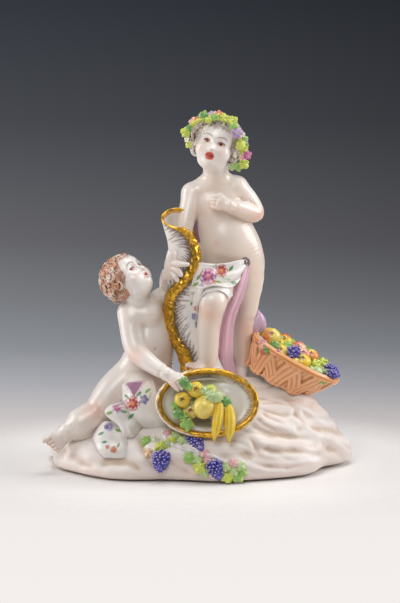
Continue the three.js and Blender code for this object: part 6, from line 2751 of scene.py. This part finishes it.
@dataclass(frozen=True)
class Studio:
    """The photographer's table, which fades into a sweep of light and dark, and the lamps."""

    floor_radius: float = 420.0
    fade_from: float = 118.0
    fade_to: float = 215.0
    # Height of sight in degrees, with the sweep's tone on the 0 to 255 scale
    sweep: tuple[tuple[float, int, int, int], ...] = (
        (-16.5, 245, 240, 237), (-14.9, 242, 237, 235), (-14.3, 230, 224, 222), (-13.6, 202, 196, 195),
        (-13.1, 166, 166, 171), (-12.6, 133, 136, 141), (-12.0, 113, 115, 119), (-11.2, 92, 92, 96),
        (-9.6, 64, 66, 71), (-8.0, 47, 50, 56), (-3, 52, 56, 64), (0, 70, 76, 86),
    )

    def build_floor(self) -> None:
        """Makes the table top."""
        bm = bmesh.new()
        bmesh.ops.create_circle(bm, cap_ends=True, segments=96, radius=self.floor_radius * MM)
        mesh = bpy.data.meshes.new("table")
        bm.to_mesh(mesh)
        bm.free()
        table = bpy.data.objects.new("table", mesh)
        bpy.context.scene.collection.objects.link(table)
        material = bpy.data.materials.new("table")
        shader = Shader(material)
        place = shader.place()
        flat = shader.node("ShaderNodeVectorMath", {"operation": "MULTIPLY"}, {0: place, 1: (1.0, 1.25, 0.0)})
        far = shader.node("ShaderNodeVectorMath", {"operation": "LENGTH"}, {0: flat}, "Value")
        limits = {0: far, 1: self.fade_from * MM, 2: self.fade_to * MM}
        away = shader.node("ShaderNodeMapRange", {"interpolation_type": "SMOOTHSTEP"}, limits)
        look = {"Base Color": (*paint(234, 230, 227), 1), "Roughness": 0.6, "Specular IOR Level": 0.25}
        white = shader.node("ShaderNodeBsdfPrincipled", {}, look)
        clear = shader.node("ShaderNodeBsdfTransparent", {}, {})
        mixed = shader.node("ShaderNodeMixShader", {}, {0: away, 1: white, 2: clear})
        shader.node("ShaderNodeOutputMaterial", {}, {0: mixed})
        mesh.materials.append(material)

    def build_world(self) -> None:
        """Makes the sweep behind the group and the light of the room above it."""
        world = bpy.data.worlds.new("room")
        bpy.context.scene.world = world
        shader = Shader(world)
        way = shader.node("ShaderNodeTexCoord", {}, {}, "Generated")
        height, across = (shader.node("ShaderNodeSeparateXYZ", {}, {0: way}, axis) for axis in "ZX")
        low, high = -0.3, 0.02
        heights = [math.sin(math.radians(degrees)) for degrees, *_ in self.sweep]
        stops = [((z - low) / (high - low), paint(*tone)) for z, (_, *tone) in zip(heights, self.sweep)]
        sweep = shader.node("ShaderNodeValToRGB", {"stops": stops}, {0: shader.spread(height, low, high)})
        side = shader.spread(across, -0.07, 0.07, 1.34, 0.66)
        dim = shader.spread(height, -0.245, -0.2, 0.0, 1.0)
        sweep = shader.scaled(sweep, dim * (side - 1) + 1)
        colour = shader.mix(shader.spread(height, 0.0, 0.5), sweep, (0.11, 0.12, 0.14))
        ground = shader.node("ShaderNodeBackground", {}, {0: colour, 1: 1.0})
        shader.node("ShaderNodeOutputWorld", {}, {0: ground})

    @staticmethod
    def lamp(name: str, place: Point, aim: Point, size: tuple[float, float], watts: float,
             tone: Point) -> None:
        """Hangs a soft box, with places and sizes in millimetres.

        Args:
            name: what it is called.
            place: where it hangs.
            aim: what it is turned to.
            size: its width and height.
            watts: its strength.
            tone: its colour.
        """
        data = bpy.data.lights.new(name, "AREA")
        data.shape = "RECTANGLE"
        data.size, data.size_y = size[0] * MM, size[1] * MM
        data.energy = watts
        data.color = tone
        lamp = bpy.data.objects.new(name, data)
        lamp.location = Vector(place) * MM
        lamp.rotation_mode = "QUATERNION"
        lamp.rotation_quaternion = (Vector(aim) - Vector(place)).to_track_quat("-Z", "Y")
        bpy.context.scene.collection.objects.link(lamp)

    def build(self) -> None:
        """Makes the table, the sweep and the lamps."""
        self.build_floor()
        self.build_world()
        aim = (0, 0, 110)
        self.lamp("key", (-280, -820, 960), aim, (620, 620), 6.2, (1.0, 0.985, 0.96))
        self.lamp("left", (-1100, 60, 420), aim, (500, 900), 6.8, (1.0, 0.98, 0.97))
        self.lamp("right", (1050, 0, 560), aim, (500, 800), 8.5, (0.98, 0.985, 1.0))
        self.lamp("top", (160, 160, 1250), aim, (500, 500), 6, (1.0, 1.0, 1.0))


def main() -> None:
    """Builds the group, its studio and its camera."""
    logging.basicConfig(level=logging.INFO, format="%(message)s")
    GlazedPorcelain().build()
    ROCK.build()
    Horn().build()
    standing = StandingChild()
    clay = standing.build()
    seated_clay = SeatedChild().build()
    for cloth in (OVER_HIPS, BESIDE_KNEE, ROUND_KNEE, LINING, UNDER_ARM):
        cloth.build(clay)
    for cloth in (LAP, TAIL):
        cloth.build(seated_clay)
    basket = Basket()
    plants = (BasketFruit(basket), HornFruit(), Wreath(standing), Vine(ROCK))
    for part in (BackDrape(), KNOT, LUMP, basket, *plants):
        part.build()
    Studio().build()
    VIEW.build()
    bpy.context.scene.view_settings.view_transform = "Standard"


if __name__ == "__main__":
    main()
